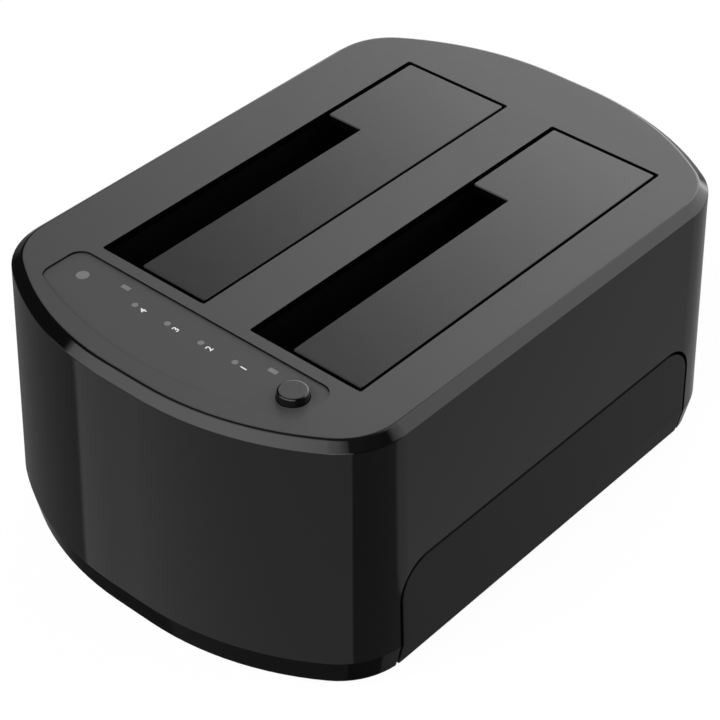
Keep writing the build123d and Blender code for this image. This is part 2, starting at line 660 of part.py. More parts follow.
with BuildPart() as panel_board_screws:
    screws(
        PANEL_BOARD_BOTTOM,
        BOARD_THICKNESS + SMALL_SCREW_LENGTH - SCREW_CLEARANCE,
        1,
        SMALL_SCREW,
        SMALL_HEAD,
        SMALL_HEAD_HEIGHT,
        PANEL_BOSSES,
    )
save(panel_board_screws.part, "panel_board_screws")

# One bay each: the guide that holds the drive upright, its spring flap and the flap's hinge
for side, bay_x in BAY_XS.items():
    pin_x = hinge_x(side)
    wall_x = bay_x + BAY_WIDTH / 2
    bay_left = bay_x - BAY_WIDTH / 2
    tail_ys = (BAY_FRONT_Y + TAIL_FROM_END, BAY_REAR_Y - TAIL_FROM_END)
    coil_length = COIL_PITCH * COIL_TURNS
    wall_leg_y = BAYS_MIDDLE_Y + coil_length / 2
    flap_leg_y = BAYS_MIDDLE_Y - coil_length / 2
    leg_reach = COIL_RADIUS + WIRE_DIAMETER / 2

    with BuildPart() as guide:
        with BuildSketch(Plane.XY.offset(GUIDE_BOTTOM)):
            with Locations((bay_x, BAYS_MIDDLE_Y)):
                RectangleRounded(
                    BAY_WIDTH + 2 * GUIDE_WALL, BAY_LENGTH + 2 * GUIDE_WALL, BAY_CORNER + GUIDE_WALL
                )
        extrude(amount=CEILING - GUIDE_BOTTOM)
        with BuildSketch(Plane.XY.offset(BAY_FLOOR)):
            with Locations((bay_x, BAYS_MIDDLE_Y)):
                RectangleRounded(BAY_WIDTH, BAY_LENGTH, BAY_CORNER)
        extrude(amount=BAY_DEPTH, mode=Mode.SUBTRACT)
        # Upright ribs that stiffen the long walls, below the screw lugs
        rib_pitch = BAY_LENGTH / GUIDE_RIB_COUNT
        with BuildSketch(Plane.XY.offset(GUIDE_BOTTOM)):
            with Locations((bay_x, BAYS_MIDDLE_Y)):
                with GridLocations(BAY_WIDTH + 2 * GUIDE_WALL, rib_pitch, 2, GUIDE_RIB_COUNT):
                    Rectangle(2 * GUIDE_RIB_PROUD, GUIDE_RIB)
                Rectangle(BAY_WIDTH, BAY_LENGTH, mode=Mode.SUBTRACT)
        extrude(amount=LUG_BOTTOM - GUIDE_BOTTOM)
        # Hole that the drive connector stands up through
        with BuildSketch(Plane.XY.offset(GUIDE_BOTTOM)):
            with Locations(connector_at(side)):
                Rectangle(
                    CONNECTOR_WIDTH + 2 * CONNECTOR_CLEARANCE, CONNECTOR_LENGTH + 2 * CONNECTOR_CLEARANCE
                )
        extrude(amount=GUIDE_FLOOR, mode=Mode.SUBTRACT)
        # Screw lugs, each a round ear with a web back to the wall
        with BuildSketch(Plane.XY.offset(LUG_BOTTOM)):
            with Locations(*guide_lugs(side)):
                Circle(GUIDE_LUG_DIAMETER / 2)
            with Locations(*guide_lugs(side, 0)):
                Rectangle(GUIDE_LUG_DIAMETER, GUIDE_LUG_DIAMETER)
            with Locations((bay_x, BAYS_MIDDLE_Y)):
                RectangleRounded(BAY_WIDTH, BAY_LENGTH, BAY_CORNER, mode=Mode.SUBTRACT)
            with Locations(*guide_lugs(side)):
                Circle(SMALL_SCREW / 2 + SCREW_CLEARANCE, mode=Mode.SUBTRACT)
        extrude(amount=GUIDE_LUG_THICKNESS)
        # Lower halves of the pin seats
        with BuildSketch(upright(BAY_REAR_Y + PIN_SEAT_LENGTH)):
            with Locations((pin_x, HINGE_Z)):
                Circle(PIN_RADIUS + PIN_CLEARANCE)
        extrude(amount=BAY_LENGTH + 2 * PIN_SEAT_LENGTH, mode=Mode.SUBTRACT)
        # Ledges under the flap's tails stop it level with the top
        ledge_x = pin_x + BARREL_RADIUS + LEDGE_CLEARANCE
        with BuildSketch(Plane.XY.offset(HINGE_Z - TAIL_DEPTH)):
            with Locations(*[((ledge_x + wall_x) / 2, y) for y in tail_ys]):
                Rectangle(wall_x - ledge_x, TAIL_LENGTH)
        extrude(amount=-LEDGE_HEIGHT)
        # Small hole that holds the spring's fixed leg
        with BuildSketch(Plane.YZ.offset(wall_x)):
            with Locations((wall_leg_y, HINGE_Z - COIL_RADIUS)):
                Circle(WIRE_DIAMETER / 2 + PIN_CLEARANCE)
        extrude(amount=GUIDE_WALL, mode=Mode.SUBTRACT)
    save(guide.part, f"drive_guide_{side}")

    flap_left = bay_left + FLAP_GAP
    flap_right = pin_x + BARREL_RADIUS
    flap_front = BAY_FRONT_Y + FLAP_FRONT_GAP
    flap_rear = BAY_REAR_Y - FLAP_REAR_GAP
    notch_x = bay_left + SLOT_WIDTH
    notch_y = BAY_FRONT_Y + SLOT_LENGTH
    stiffener_pitch = (flap_rear - flap_front - 2 * STIFFENER_FROM_END) / (STIFFENER_COUNT - 1)
    with BuildPart() as flap:
        with BuildSketch(Plane.XY.offset(FLAP_BOTTOM)) as plate:
            with BuildLine():
                Polyline(
                    (notch_x, flap_front),
                    (flap_right, flap_front),
                    (flap_right, flap_rear),
                    (flap_left, flap_rear),
                    (flap_left, notch_y),
                    (notch_x, notch_y),
                    close=True,
                )
            make_face()
            fillet(plate.vertices(), SLOT_CORNER / 2)
        extrude(amount=FLAP_THICKNESS)
        fillet(flap.faces().sort_by(Axis.Z)[-1].edges(), FLAP_EDGE_ROUND)
        # Hinge barrel along the right-hand edge, with its web up to the plate
        with BuildSketch(upright(flap_rear - SLOT_CORNER / 2)):
            with Locations((pin_x, HINGE_Z)):
                Circle(BARREL_RADIUS)
            with Locations((pin_x, (HINGE_Z + FLAP_BOTTOM) / 2)):
                Rectangle(2 * BARREL_RADIUS, FLAP_BOTTOM - HINGE_Z)
        extrude(amount=flap_rear - flap_front - SLOT_CORNER)
        # Tails that rest on the guide's ledges while the flap is shut
        with BuildSketch(Plane.XY.offset(HINGE_Z - TAIL_DEPTH)):
            with Locations(*[(pin_x + TAIL_REACH / 2, y) for y in tail_ys]):
                Rectangle(TAIL_REACH, TAIL_LENGTH)
        extrude(amount=TAIL_DEPTH + FLAP_BOTTOM - HINGE_Z)
        # Stiffeners under the plate, from the barrel to the free edge
        for i in range(STIFFENER_COUNT):
            stiffener_y = flap_front + STIFFENER_FROM_END + stiffener_pitch * i
            free_x = (notch_x if stiffener_y < notch_y else flap_left) + SLOT_CORNER
            with BuildSketch(Plane.XY.offset(FLAP_BOTTOM)):
                with Locations(((free_x + pin_x) / 2, stiffener_y)):
                    Rectangle(pin_x - free_x, STIFFENER_WIDTH)
            extrude(amount=-STIFFENER_DEPTH)
        # Rib that the spring's moving leg lifts
        rib_top = FLAP_BOTTOM
        rib_bottom = HINGE_Z - COIL_RADIUS + WIRE_DIAMETER / 2
        with BuildSketch(Plane.XY.offset(rib_bottom)):
            with Locations((pin_x - SPRING_LEG + RIB_WIDTH / 2, flap_leg_y)):
                Rectangle(RIB_WIDTH, SPRING_POCKET)
        extrude(amount=rib_top - rib_bottom)
        # Bore for the pin, and the pocket for the coil
        with BuildSketch(upright(flap_rear)):
            with Locations((pin_x, HINGE_Z)):
                Circle(PIN_RADIUS + PIN_CLEARANCE)
        extrude(amount=flap_rear - flap_front, mode=Mode.SUBTRACT)
        with BuildSketch(upright(BAYS_MIDDLE_Y + SPRING_POCKET / 2)):
            with Locations((pin_x, HINGE_Z)):
                Circle(leg_reach + LEDGE_CLEARANCE)
            with Locations((pin_x, HINGE_Z - BARREL_RADIUS)):
                Rectangle(2 * (leg_reach + LEDGE_CLEARANCE), 2 * BARREL_RADIUS)
        extrude(amount=SPRING_POCKET, mode=Mode.SUBTRACT)
    save(flap.part, f"flap_{side}")

    with BuildPart() as hinge_pin:
        with BuildSketch(upright(BAY_REAR_Y + PIN_SEAT_LENGTH - PIN_CLEARANCE)):
            with Locations((pin_x, HINGE_Z)):
                Circle(PIN_RADIUS)
        extrude(amount=BAY_LENGTH + 2 * PIN_SEAT_LENGTH - 2 * PIN_CLEARANCE)
    save(hinge_pin.part, f"hinge_pin_{side}")

    # The coil winds along the pin; one leg is held in the guide's wall, the other lifts the flap
    leg_z = HINGE_Z - COIL_RADIUS
    with BuildPart() as spring:
        with BuildLine() as wire:
            Line((pin_x + WALL_LEG, wall_leg_y, leg_z), (pin_x, wall_leg_y, leg_z))
            Helix(
                COIL_PITCH,
                coil_length,
                COIL_RADIUS,
                center=(pin_x, wall_leg_y, HINGE_Z),
                direction=(0, -1, 0),
                lefthand=True,
            )
            Line((pin_x, flap_leg_y, leg_z), (pin_x - SPRING_LEG, flap_leg_y, leg_z))
        with BuildSketch(Plane(origin=wire.line @ 0, z_dir=wire.line % 0)):
            Circle(WIRE_DIAMETER / 2)
        sweep(path=wire.line, transition=Transition.TRANSFORMED)
    save(spring.part, f"flap_spring_{side}")


# Indicator panel: a thin plate in the sunken place, with a hole for each light
with BuildPart() as indicator_panel:
    extrude(panel_outline(PANEL_TOP, PANEL_CLEARANCE), amount=-PANEL_THICKNESS)
    extrude(panel_holes(PANEL_TOP), amount=-PANEL_THICKNESS, mode=Mode.SUBTRACT)
save(indicator_panel.part, "indicator_panel")

# Small board under the panel
with BuildPart() as indicator_board:
    with BuildSketch(Plane.XY.offset(PANEL_BOARD_BOTTOM)):
        with Locations((0, -(PANEL_BOARD_FRONT + PANEL_BOARD_BACK) / 2)):
            RectangleRounded(PANEL_BOARD_WIDTH, PANEL_BOARD_FRONT - PANEL_BOARD_BACK, BOARD_THICKNESS)
        with Locations(*PANEL_BOSSES):
            Circle(SMALL_SCREW / 2 + SCREW_CLEARANCE, mode=Mode.SUBTRACT)
    extrude(amount=BOARD_THICKNESS)
save(indicator_board.part, "indicator_board")

LIGHTS = {f"progress_light_{i + 1}": place for i, place in enumerate(reversed(DOTS))}
LIGHTS |= {
    "power_light": (POWER_LIGHT_X, LIGHT_ROW_Y),
    "source_light": (SOURCE_X, BAR_ROW_Y),
    "target_light": (TARGET_X, BAR_ROW_Y),
}

with BuildPart() as indicator_leds:
    with BuildSketch(Plane.XY.offset(PANEL_BOARD_TOP)):
        with Locations(*LIGHTS.values()):
            Rectangle(LED_SIZE, LED_SIZE)
    extrude(amount=LED_HEIGHT)
    chamfer(indicator_leds.edges().group_by(Axis.Z)[-1], LED_BEVEL)
save(indicator_leds.part, "indicator_leds")

# Light pipes: the window in the panel, a flange under the top, and a stem down to the light
for name, place in LIGHTS.items():
    with BuildPart() as light_pipe:
        with BuildSketch(Plane.XY.offset(PANEL_TOP)) as window:
            with Locations(place):
                if name.startswith("progress"):
                    Circle(DOT_DIAMETER / 2)
                elif name.startswith("power"):
                    Circle(POWER_LIGHT_DIAMETER / 2)
                else:
                    Rectangle(BAR_LENGTH, BAR_WIDTH)
        extrude(amount=PANEL_BOARD_TOP + LED_HEIGHT + LED_GAP - PANEL_TOP)
        flange = offset(window.sketch, PIPE_FLANGE, mode=Mode.PRIVATE)
        extrude(flange.moved(Location((0, 0, CEILING - PANEL_TOP))), amount=-PIPE_FLANGE_HEIGHT)
    save(light_pipe.part, name)

# Clone button: the cap, the flange that keeps it in, and the stem on the switch
switch_top = PANEL_BOARD_TOP + SWITCH_HEIGHT
plunger_top = switch_top + PLUNGER_PROUD
with BuildPart() as clone_button:
    extrude(disc(CEILING, BUTTON_DIAMETER, BUTTON_AT), amount=PANEL_TOP - CEILING)
    extrude(disc(PANEL_TOP, BUTTON_DIAMETER, BUTTON_AT), amount=BUTTON_PROUD, taper=BUTTON_TAPER)
    fillet(clone_button.faces().sort_by(Axis.Z)[-1].edges(), BUTTON_ROUND)
    extrude(disc(CEILING, BUTTON_DIAMETER + 2 * BUTTON_FLANGE, BUTTON_AT), amount=-BUTTON_FLANGE_HEIGHT)
    extrude(disc(CEILING, BUTTON_STEM, BUTTON_AT), amount=plunger_top - CEILING)
save(clone_button.part, "clone_button")

with BuildPart() as clone_switch:
    with BuildSketch(Plane.XY.offset(PANEL_BOARD_TOP)):
        with Locations(*BUTTON_AT):
            RectangleRounded(SWITCH_SIZE, SWITCH_SIZE, SWITCH_CORNER)
    extrude(amount=SWITCH_HEIGHT)
    extrude(
        disc(switch_top, PLUNGER_DIAMETER + 2 * SLIDING_CLEARANCE, BUTTON_AT),
        amount=-(PLUNGER_SUNK + BUTTON_TRAVEL + SLIDING_CLEARANCE),
        mode=Mode.SUBTRACT,
    )
save(clone_switch.part, "clone_switch")

with BuildPart() as clone_switch_plunger:
    extrude(disc(plunger_top, PLUNGER_DIAMETER, BUTTON_AT), amount=-(PLUNGER_PROUD + PLUNGER_SUNK))
save(clone_switch_plunger.part, "clone_switch_plunger")

# Main board on the standoffs, narrow at both ends to pass the case bosses
with BuildPart() as main_board:
    with BuildSketch(Plane.XY.offset(MAIN_BOARD_BOTTOM)):
        Rectangle(MAIN_BOARD_WIDTH, MAIN_BOARD_LENGTH)
        with Locations((0, -MAIN_BOARD_FRONT / 2)):
            Rectangle(MAIN_BOARD_NOSE, MAIN_BOARD_FRONT)
        with Locations((0, MAIN_BOARD_REAR / 2)):
            Rectangle(MAIN_BOARD_TAIL, MAIN_BOARD_REAR)
        with Locations(*STANDOFFS):
            Circle(SMALL_SCREW / 2 + SCREW_CLEARANCE, mode=Mode.SUBTRACT)
    extrude(amount=BOARD_THICKNESS)
save(main_board.part, "main_board")

# Drive connectors, each with its two L-shaped slots and the contacts along one side of them
for side in BAY_XS:
    socket_x, socket_y = connector_at(side)
    connector_top = BAY_FLOOR + CONNECTOR_ABOVE_FLOOR
    tongue_length = DATA_SLOT_LENGTH + SLOT_KEY + POWER_SLOT_LENGTH
    data_y = socket_y - (tongue_length - DATA_SLOT_LENGTH) / 2
    power_y = socket_y + (tongue_length - POWER_SLOT_LENGTH) / 2
    hook_x = socket_x + (TONGUE_SLOT_WIDTH + SLOT_HOOK) / 2
    hook_ys = (data_y - (DATA_SLOT_LENGTH - SLOT_HOOK) / 2, power_y + (POWER_SLOT_LENGTH - SLOT_HOOK) / 2)
    with BuildPart() as connector:
        with BuildSketch(Plane.XY.offset(MAIN_BOARD_TOP)):
            with Locations((socket_x, socket_y)):
                Rectangle(CONNECTOR_WIDTH, CONNECTOR_LENGTH)
        extrude(amount=connector_top - MAIN_BOARD_TOP)
        chamfer(connector.edges().group_by(Axis.Z)[-1], CONNECTOR_BEVEL)
        with BuildSketch(Plane.XY.offset(connector_top)):
            with Locations((socket_x, data_y)):
                Rectangle(TONGUE_SLOT_WIDTH, DATA_SLOT_LENGTH)
            with Locations((socket_x, power_y)):
                Rectangle(TONGUE_SLOT_WIDTH, POWER_SLOT_LENGTH)
            with Locations(*[(hook_x, y) for y in hook_ys]):
                Rectangle(SLOT_HOOK, SLOT_HOOK)
        extrude(amount=-TONGUE_SLOT_DEPTH, mode=Mode.SUBTRACT)
    save(connector.part, f"drive_connector_{side}")

    with BuildPart() as contacts:
        with BuildSketch(Plane.XY.offset(connector_top - TONGUE_SLOT_DEPTH)):
            for middle_y, count in ((data_y, DATA_CONTACTS), (power_y, POWER_CONTACTS)):
                with Locations((socket_x - (TONGUE_SLOT_WIDTH - CONTACT_THICKNESS) / 2, middle_y)):
                    with GridLocations(CONTACT_PITCH, CONTACT_PITCH, 1, count):
                        Rectangle(CONTACT_THICKNESS, CONTACT_WIDTH)
        extrude(amount=TONGUE_SLOT_DEPTH - CONTACT_WIDTH)
    save(contacts.part, f"drive_contacts_{side}")

# Data socket: a folded metal shell around a moulded core with two tongues
usb_z = MAIN_BOARD_TOP + USB_HEIGHT / 2
usb_inner_width = USB_WIDTH - 2 * USB_SHEET
usb_inner_height = USB_HEIGHT - 2 * USB_SHEET
with BuildPart() as usb_shell:
    block(SOCKET_FRONT_Y, USB_DEPTH, USB_WIDTH, USB_HEIGHT, (USB_X, usb_z))
    fillet(usb_shell.edges().filter_by(Axis.Y), USB_SHEET)
    block(SOCKET_FRONT_Y, USB_DEPTH, usb_inner_width, usb_inner_height, (USB_X, usb_z), Mode.SUBTRACT)
save(usb_shell.part, "usb_socket_shell")

usb_opening = USB_LOWER_HEIGHT + USB_UPPER_HEIGHT
usb_low = usb_z - usb_opening / 2
lower_at = (USB_X, usb_low + USB_LOWER_HEIGHT / 2)
upper_at = (USB_X, usb_low + USB_LOWER_HEIGHT + USB_UPPER_HEIGHT / 2)
with BuildPart() as usb_core:
    block(SOCKET_FRONT_Y, USB_DEPTH, usb_inner_width, usb_inner_height, (USB_X, usb_z))
    with BuildSketch(upright(SOCKET_FRONT_Y)):
        with Locations(lower_at):
            lower = Rectangle(USB_LOWER_WIDTH, USB_LOWER_HEIGHT)
        chamfer(lower.vertices().group_by(Axis.Z)[-1], USB_CORNER)
        with Locations(upper_at):
            Rectangle(USB_UPPER_WIDTH, USB_UPPER_HEIGHT)
    extrude(amount=USB_SOCKET_DEPTH, mode=Mode.SUBTRACT)
    with BuildSketch(upright(SOCKET_FRONT_Y - USB_SHEET)):
        with Locations(lower_at):
            Rectangle(USB_TONGUE_WIDTH, USB_TONGUE_HEIGHT)
        with Locations(upper_at):
            Rectangle(USB_UPPER_TONGUE_WIDTH, USB_UPPER_TONGUE_HEIGHT)
    extrude(amount=USB_SOCKET_DEPTH - USB_SHEET)
save(usb_core.part, "usb_socket_core")

# Power jack: the moulded body with its round nose in the wall, and the pin in its bore
jack_at = (JACK_X, MAIN_BOARD_TOP + JACK_HEIGHT / 2)
with BuildPart() as power_jack:
    block(PORT_INNER_Y - PORT_CLEARANCE, JACK_DEPTH, JACK_WIDTH, JACK_HEIGHT, jack_at)
    with BuildSketch(upright(SOCKET_FRONT_Y)):
        with Locations(jack_at):
            Circle(JACK_WIDTH / 2)
    extrude(amount=JACK_DEPTH)
    with BuildSketch(upright(SOCKET_FRONT_Y)):
        with Locations(jack_at):
            Circle(JACK_BORE / 2)
    extrude(amount=JACK_BORE_DEPTH, mode=Mode.SUBTRACT)
save(power_jack.part, "power_jack")

with BuildPart() as jack_pin:
    with BuildSketch(upright(SOCKET_FRONT_Y - JACK_BORE_DEPTH)):
        with Locations(jack_at):
            Circle(JACK_PIN / 2)
    extrude(amount=-(JACK_BORE_DEPTH - JACK_PIN / 2))
    fillet(jack_pin.faces().sort_by(Axis.Y)[-1].edges(), JACK_PIN / 4)
save(jack_pin.part, "power_jack_pin")

# Power button: the round cap in the wall, its flange behind it and the stem into the switch
power_at = (POWER_BUTTON_X, POWER_BUTTON_Z)
flange_y = PORT_INNER_Y - POWER_BUTTON_FLANGE
with BuildPart() as power_button:
    with BuildSketch(upright(PORT_INNER_Y)):
        with Locations(power_at):
            Circle(POWER_BUTTON_DIAMETER / 2)
    extrude(amount=-(PORT_WALL + POWER_BUTTON_PROUD))
    fillet(power_button.faces().sort_by(Axis.Y)[-1].edges(), BUTTON_ROUND)
    with BuildSketch(upright(PORT_INNER_Y)):
        with Locations(power_at):
            Circle(POWER_BUTTON_DIAMETER / 2 + POWER_BUTTON_FLANGE)
    extrude(amount=POWER_BUTTON_FLANGE)
    block(flange_y, flange_y - SWITCH_FRONT_Y + POWER_STEM_SUNK, POWER_STEM, POWER_STEM, power_at)
save(power_button.part, "power_button")

with BuildPart() as power_switch:
    switch_at = (POWER_BUTTON_X, MAIN_BOARD_TOP + POWER_SWITCH_SIZE / 2)
    block(SWITCH_FRONT_Y, POWER_SWITCH_DEPTH, POWER_SWITCH_SIZE, POWER_SWITCH_SIZE, switch_at)
    stem_bore = POWER_STEM + 2 * SLIDING_CLEARANCE
    bore_depth = POWER_STEM_SUNK + POWER_TRAVEL + PORT_CLEARANCE
    block(SWITCH_FRONT_Y, bore_depth, stem_bore, stem_bore, power_at, Mode.SUBTRACT)
save(power_switch.part, "power_switch")

# Parts soldered to the main board
with BuildPart() as bridge_chips:
    with BuildSketch(Plane.XY.offset(MAIN_BOARD_TOP)):
        with Locations(*[(BAYS_MIDDLE_X, y) for y in CHIP_YS]):
            Rectangle(CHIP_SIZE, CHIP_SIZE)
    extrude(amount=CHIP_HEIGHT)
    chamfer(bridge_chips.edges().group_by(Axis.Z)[-1], CHIP_BEVEL)
save(bridge_chips.part, "bridge_chips")

with BuildPart() as regulator_coils:
    with BuildSketch(Plane.XY.offset(MAIN_BOARD_TOP)):
        with Locations(*REGULATORS):
            RectangleRounded(REGULATOR_SIZE, REGULATOR_SIZE, REGULATOR_CORNER)
    extrude(amount=REGULATOR_HEIGHT)
save(regulator_coils.part, "regulator_coils")

with BuildPart() as capacitors:
    capacitor_places = [(x, CAPACITOR_Y) for x in CAPACITOR_XS]
    extrude(disc(MAIN_BOARD_TOP, CAPACITOR_DIAMETER, capacitor_places), amount=CAPACITOR_HEIGHT)
    fillet(capacitors.edges().group_by(Axis.Z)[-1], CAPACITOR_ROUND)
save(capacitors.part, "capacitors")

# Flat cable between the two boards, with a socket on each
with BuildPart() as cable_sockets:
    for level, up in ((MAIN_BOARD_TOP, 1), (PANEL_BOARD_BOTTOM, -1)):
        with BuildSketch(Plane.XY.offset(level)):
            with Locations((RIBBON_X, RIBBON_Y)):
                Rectangle(HEADER_WIDTH, HEADER_DEPTH)
        extrude(amount=up * HEADER_HEIGHT)
save(cable_sockets.part, "cable_sockets")

ribbon_low = MAIN_BOARD_TOP + HEADER_HEIGHT
ribbon_high = PANEL_BOARD_BOTTOM - HEADER_HEIGHT
ribbon_step = (ribbon_high - ribbon_low) / 4
with BuildPart() as flat_cable:
    with BuildSketch(Plane.YZ.offset(RIBBON_X)):
        with BuildLine():
            FilletPolyline(
                (RIBBON_Y, ribbon_low),
                (RIBBON_Y, ribbon_low + ribbon_step),
                (RIBBON_Y + RIBBON_SAG, ribbon_low + 2 * ribbon_step),
                (RIBBON_Y, ribbon_low + 3 * ribbon_step),
                (RIBBON_Y, ribbon_high),
                radius=RIBBON_BEND,
            )
        trace(line_width=RIBBON_THICKNESS)
    extrude(amount=RIBBON_WIDTH / 2, both=True)
save(flat_cable.part, "flat_cable")
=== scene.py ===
"""Looks of a docking station for two hard drives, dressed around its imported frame.

Lengths are metres. X runs to the right-hand side, Y from the indicator row to the sockets, Z up.
"""

import logging
import math
from collections.abc import Callable, Iterator, Sequence
from contextlib import contextmanager
from dataclasses import dataclass
from enum import Enum

import bmesh
import bpy
from mathutils import Matrix, Vector

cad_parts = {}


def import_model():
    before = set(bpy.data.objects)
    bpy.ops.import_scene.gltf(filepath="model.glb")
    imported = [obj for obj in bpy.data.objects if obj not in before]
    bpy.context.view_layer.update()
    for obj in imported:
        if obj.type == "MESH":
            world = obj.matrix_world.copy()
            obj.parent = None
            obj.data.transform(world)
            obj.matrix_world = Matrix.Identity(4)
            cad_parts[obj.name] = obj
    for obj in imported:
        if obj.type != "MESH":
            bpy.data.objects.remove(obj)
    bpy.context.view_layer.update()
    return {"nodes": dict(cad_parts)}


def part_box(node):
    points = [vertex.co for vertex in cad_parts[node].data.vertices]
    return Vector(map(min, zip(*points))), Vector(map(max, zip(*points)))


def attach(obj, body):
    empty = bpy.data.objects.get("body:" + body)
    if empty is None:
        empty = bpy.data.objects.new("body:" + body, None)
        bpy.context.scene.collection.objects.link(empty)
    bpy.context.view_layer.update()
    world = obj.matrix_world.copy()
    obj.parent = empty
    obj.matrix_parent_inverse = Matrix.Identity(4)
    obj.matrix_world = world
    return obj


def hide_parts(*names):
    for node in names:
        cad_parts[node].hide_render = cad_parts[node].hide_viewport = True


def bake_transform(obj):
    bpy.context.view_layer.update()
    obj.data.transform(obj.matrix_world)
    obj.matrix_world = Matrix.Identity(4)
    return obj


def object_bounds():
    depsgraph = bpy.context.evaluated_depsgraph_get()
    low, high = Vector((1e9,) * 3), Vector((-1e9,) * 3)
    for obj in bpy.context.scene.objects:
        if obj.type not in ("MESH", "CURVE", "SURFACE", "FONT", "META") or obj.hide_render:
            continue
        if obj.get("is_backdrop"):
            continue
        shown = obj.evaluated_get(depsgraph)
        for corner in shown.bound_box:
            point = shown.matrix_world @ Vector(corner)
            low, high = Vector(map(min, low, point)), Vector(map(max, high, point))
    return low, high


LOG = logging.getLogger("docking_station")

MM = 0.001
CLOSE = 0.01 * MM  # Heights that differ by less are the same.
FACING = 0.9  # Share of a normal along an axis from which it faces that way.
LEAST = 1e-6  # Keeps a divisor away from 0.
DOCK = "dock"

Colour = tuple[float, float, float]
Point = tuple[float, float, float]
FaceTest = Callable[[Vector, Vector], bool]


def grey(level: float) -> Colour:
    """Give a neutral colour of that linear level."""
    return (level, level, level)


class Slot(Enum):
    """Material slots of the record, handed to fit with new pieces; nothing reads them."""

    STEEL = "steel"
    SPRING = "spring_steel"
    PRINT = "light_window"


class Side(Enum):
    """The two drive bays."""

    LEFT = "left"
    RIGHT = "right"


@dataclass(frozen=True)
class Signal:
    """One output of a shader graph, with which shader sums are written as expressions."""

    graph: "ShaderGraph"
    socket: bpy.types.NodeSocket

    def _maths(self, operation: str, left: "Signal | float", right: "Signal | float") -> "Signal":
        """Add one Math node to the graph."""
        return self.graph.node("ShaderNodeMath", {"operation": operation}, {0: left, 1: right})

    def __add__(self, other: "Signal | float") -> "Signal":
        """Give the sum."""
        return self._maths("ADD", self, other)

    def __radd__(self, other: float) -> "Signal":
        """Give the sum with a plain number in front."""
        return self._maths("ADD", other, self)

    def __sub__(self, other: "Signal | float") -> "Signal":
        """Give the difference."""
        return self._maths("SUBTRACT", self, other)

    def __rsub__(self, other: float) -> "Signal":
        """Give a plain number less this value."""
        return self._maths("SUBTRACT", other, self)

    def __mul__(self, other: "Signal | float") -> "Signal":
        """Give the product."""
        return self._maths("MULTIPLY", self, other)

    def __rmul__(self, other: float) -> "Signal":
        """Give the product with a plain number in front."""
        return self._maths("MULTIPLY", other, self)

    def __truediv__(self, other: "Signal | float") -> "Signal":
        """Give the quotient."""
        return self._maths("DIVIDE", self, other)

    def __pow__(self, other: float) -> "Signal":
        """Give this value raised to a plain power."""
        return self._maths("POWER", self, other)

    def most(self, other: "Signal | float") -> "Signal":
        """Give the larger of the two values."""
        return self._maths("MAXIMUM", self, other)

    def rise(self, low: float, high: float) -> "Signal":
        """Give a smooth step from 0 at low to 1 at high.

        Args:
            low: Value at which the step starts.
            high: Value at which the step ends. It may be the smaller one, for a step down.

        Returns:
            The step, between 0 and 1.
        """
        if low > high:
            return 1 - self.rise(high, low)
        settings = {"interpolation_type": "SMOOTHSTEP"}
        values = {"Value": self, "From Min": low, "From Max": high}
        return self.graph.node("ShaderNodeMapRange", settings, values)


class ShaderGraph:
    """The node tree of one material or of the world, written as expressions."""

    def __init__(self, tree: bpy.types.NodeTree) -> None:
        """Start an empty graph in that tree."""
        self.tree = tree
        self.tree.nodes.clear()

    def node(
        self,
        kind: str,
        settings: dict[str, object] | None = None,
        sockets: dict[str | int, object] | None = None,
        output: str | int = 0,
    ) -> Signal:
        """Add one node.

        Args:
            kind: Class name of the node's type.
            settings: Properties of the node, set first.
            sockets: Plain values or signals of its inputs, by name or number.
            output: Which output the signal is read from.

        Returns:
            The chosen output.
        """
        made = self.tree.nodes.new(kind)
        for name, value in (settings or {}).items():
            setattr(made, name, value)
        for name, value in (sockets or {}).items():
            if isinstance(value, Signal):
                self.tree.links.new(value.socket, made.inputs[name])
            else:
                made.inputs[name].default_value = value
        return Signal(self, made.outputs[output])

    def mix(self, factor: Signal, low: Colour | Signal, high: Colour | Signal) -> Signal:
        """Blend two colours.

        Args:
            factor: 0 for low and 1 for high.
            low: Colour at 0.
            high: Colour at 1.

        Returns:
            The blended colour.
        """
        first, second = (c if isinstance(c, Signal) else (*c, 1.0) for c in (low, high))
        sockets = {0: factor, 6: first, 7: second}
        return self.node("ShaderNodeMix", {"data_type": "RGBA"}, sockets, output=2)

    def place(self) -> Signal:
        """Give the point on the object, in metres."""
        return self.node("ShaderNodeTexCoord", output="Object")

    def axis(self, vector: Signal, name: str) -> Signal:
        """Give one of the X, Y and Z parts of a vector."""
        return self.node("ShaderNodeSeparateXYZ", sockets={0: vector}, output=name)

    def noise(self, size: float, detail: float = 3.0, stretch: Point = (1, 1, 1)) -> Signal:
        """Give a noise over the object.

        Args:
            size: How large one blotch is, in metres.
            detail: How many finer layers are on it.
            stretch: How much larger a blotch is along each axis.

        Returns:
            The noise, between 0 and 1.
        """
        scale = tuple(1 / (size * factor) for factor in stretch)
        times = {"operation": "MULTIPLY"}
        spread = self.node("ShaderNodeVectorMath", times, {0: self.place(), 1: scale})
        values = {"Vector": spread, "Scale": 1.0, "Detail": detail}
        return self.node("ShaderNodeTexNoise", None, values)

    def bump(self, height: Signal, depth: float) -> Signal:
        """Turn a height pattern into a normal.

        Args:
            height: The pattern, from 0 to 1.
            depth: How deep the pattern is, in metres.

        Returns:
            The normal for a shader.
        """
        return self.node("ShaderNodeBump", None, {"Height": height, "Distance": depth})

    def surface(self, sockets: dict[str, object]) -> Signal:
        """Add the surface shader with those inputs."""
        return self.node("ShaderNodeBsdfPrincipled", None, sockets)

    def finish(self, shader: Signal, kind: str = "ShaderNodeOutputMaterial") -> None:
        """Lead the shader to the tree's output."""
        made = self.tree.nodes.new(kind)
        self.tree.links.new(shader.socket, made.inputs["Surface"])


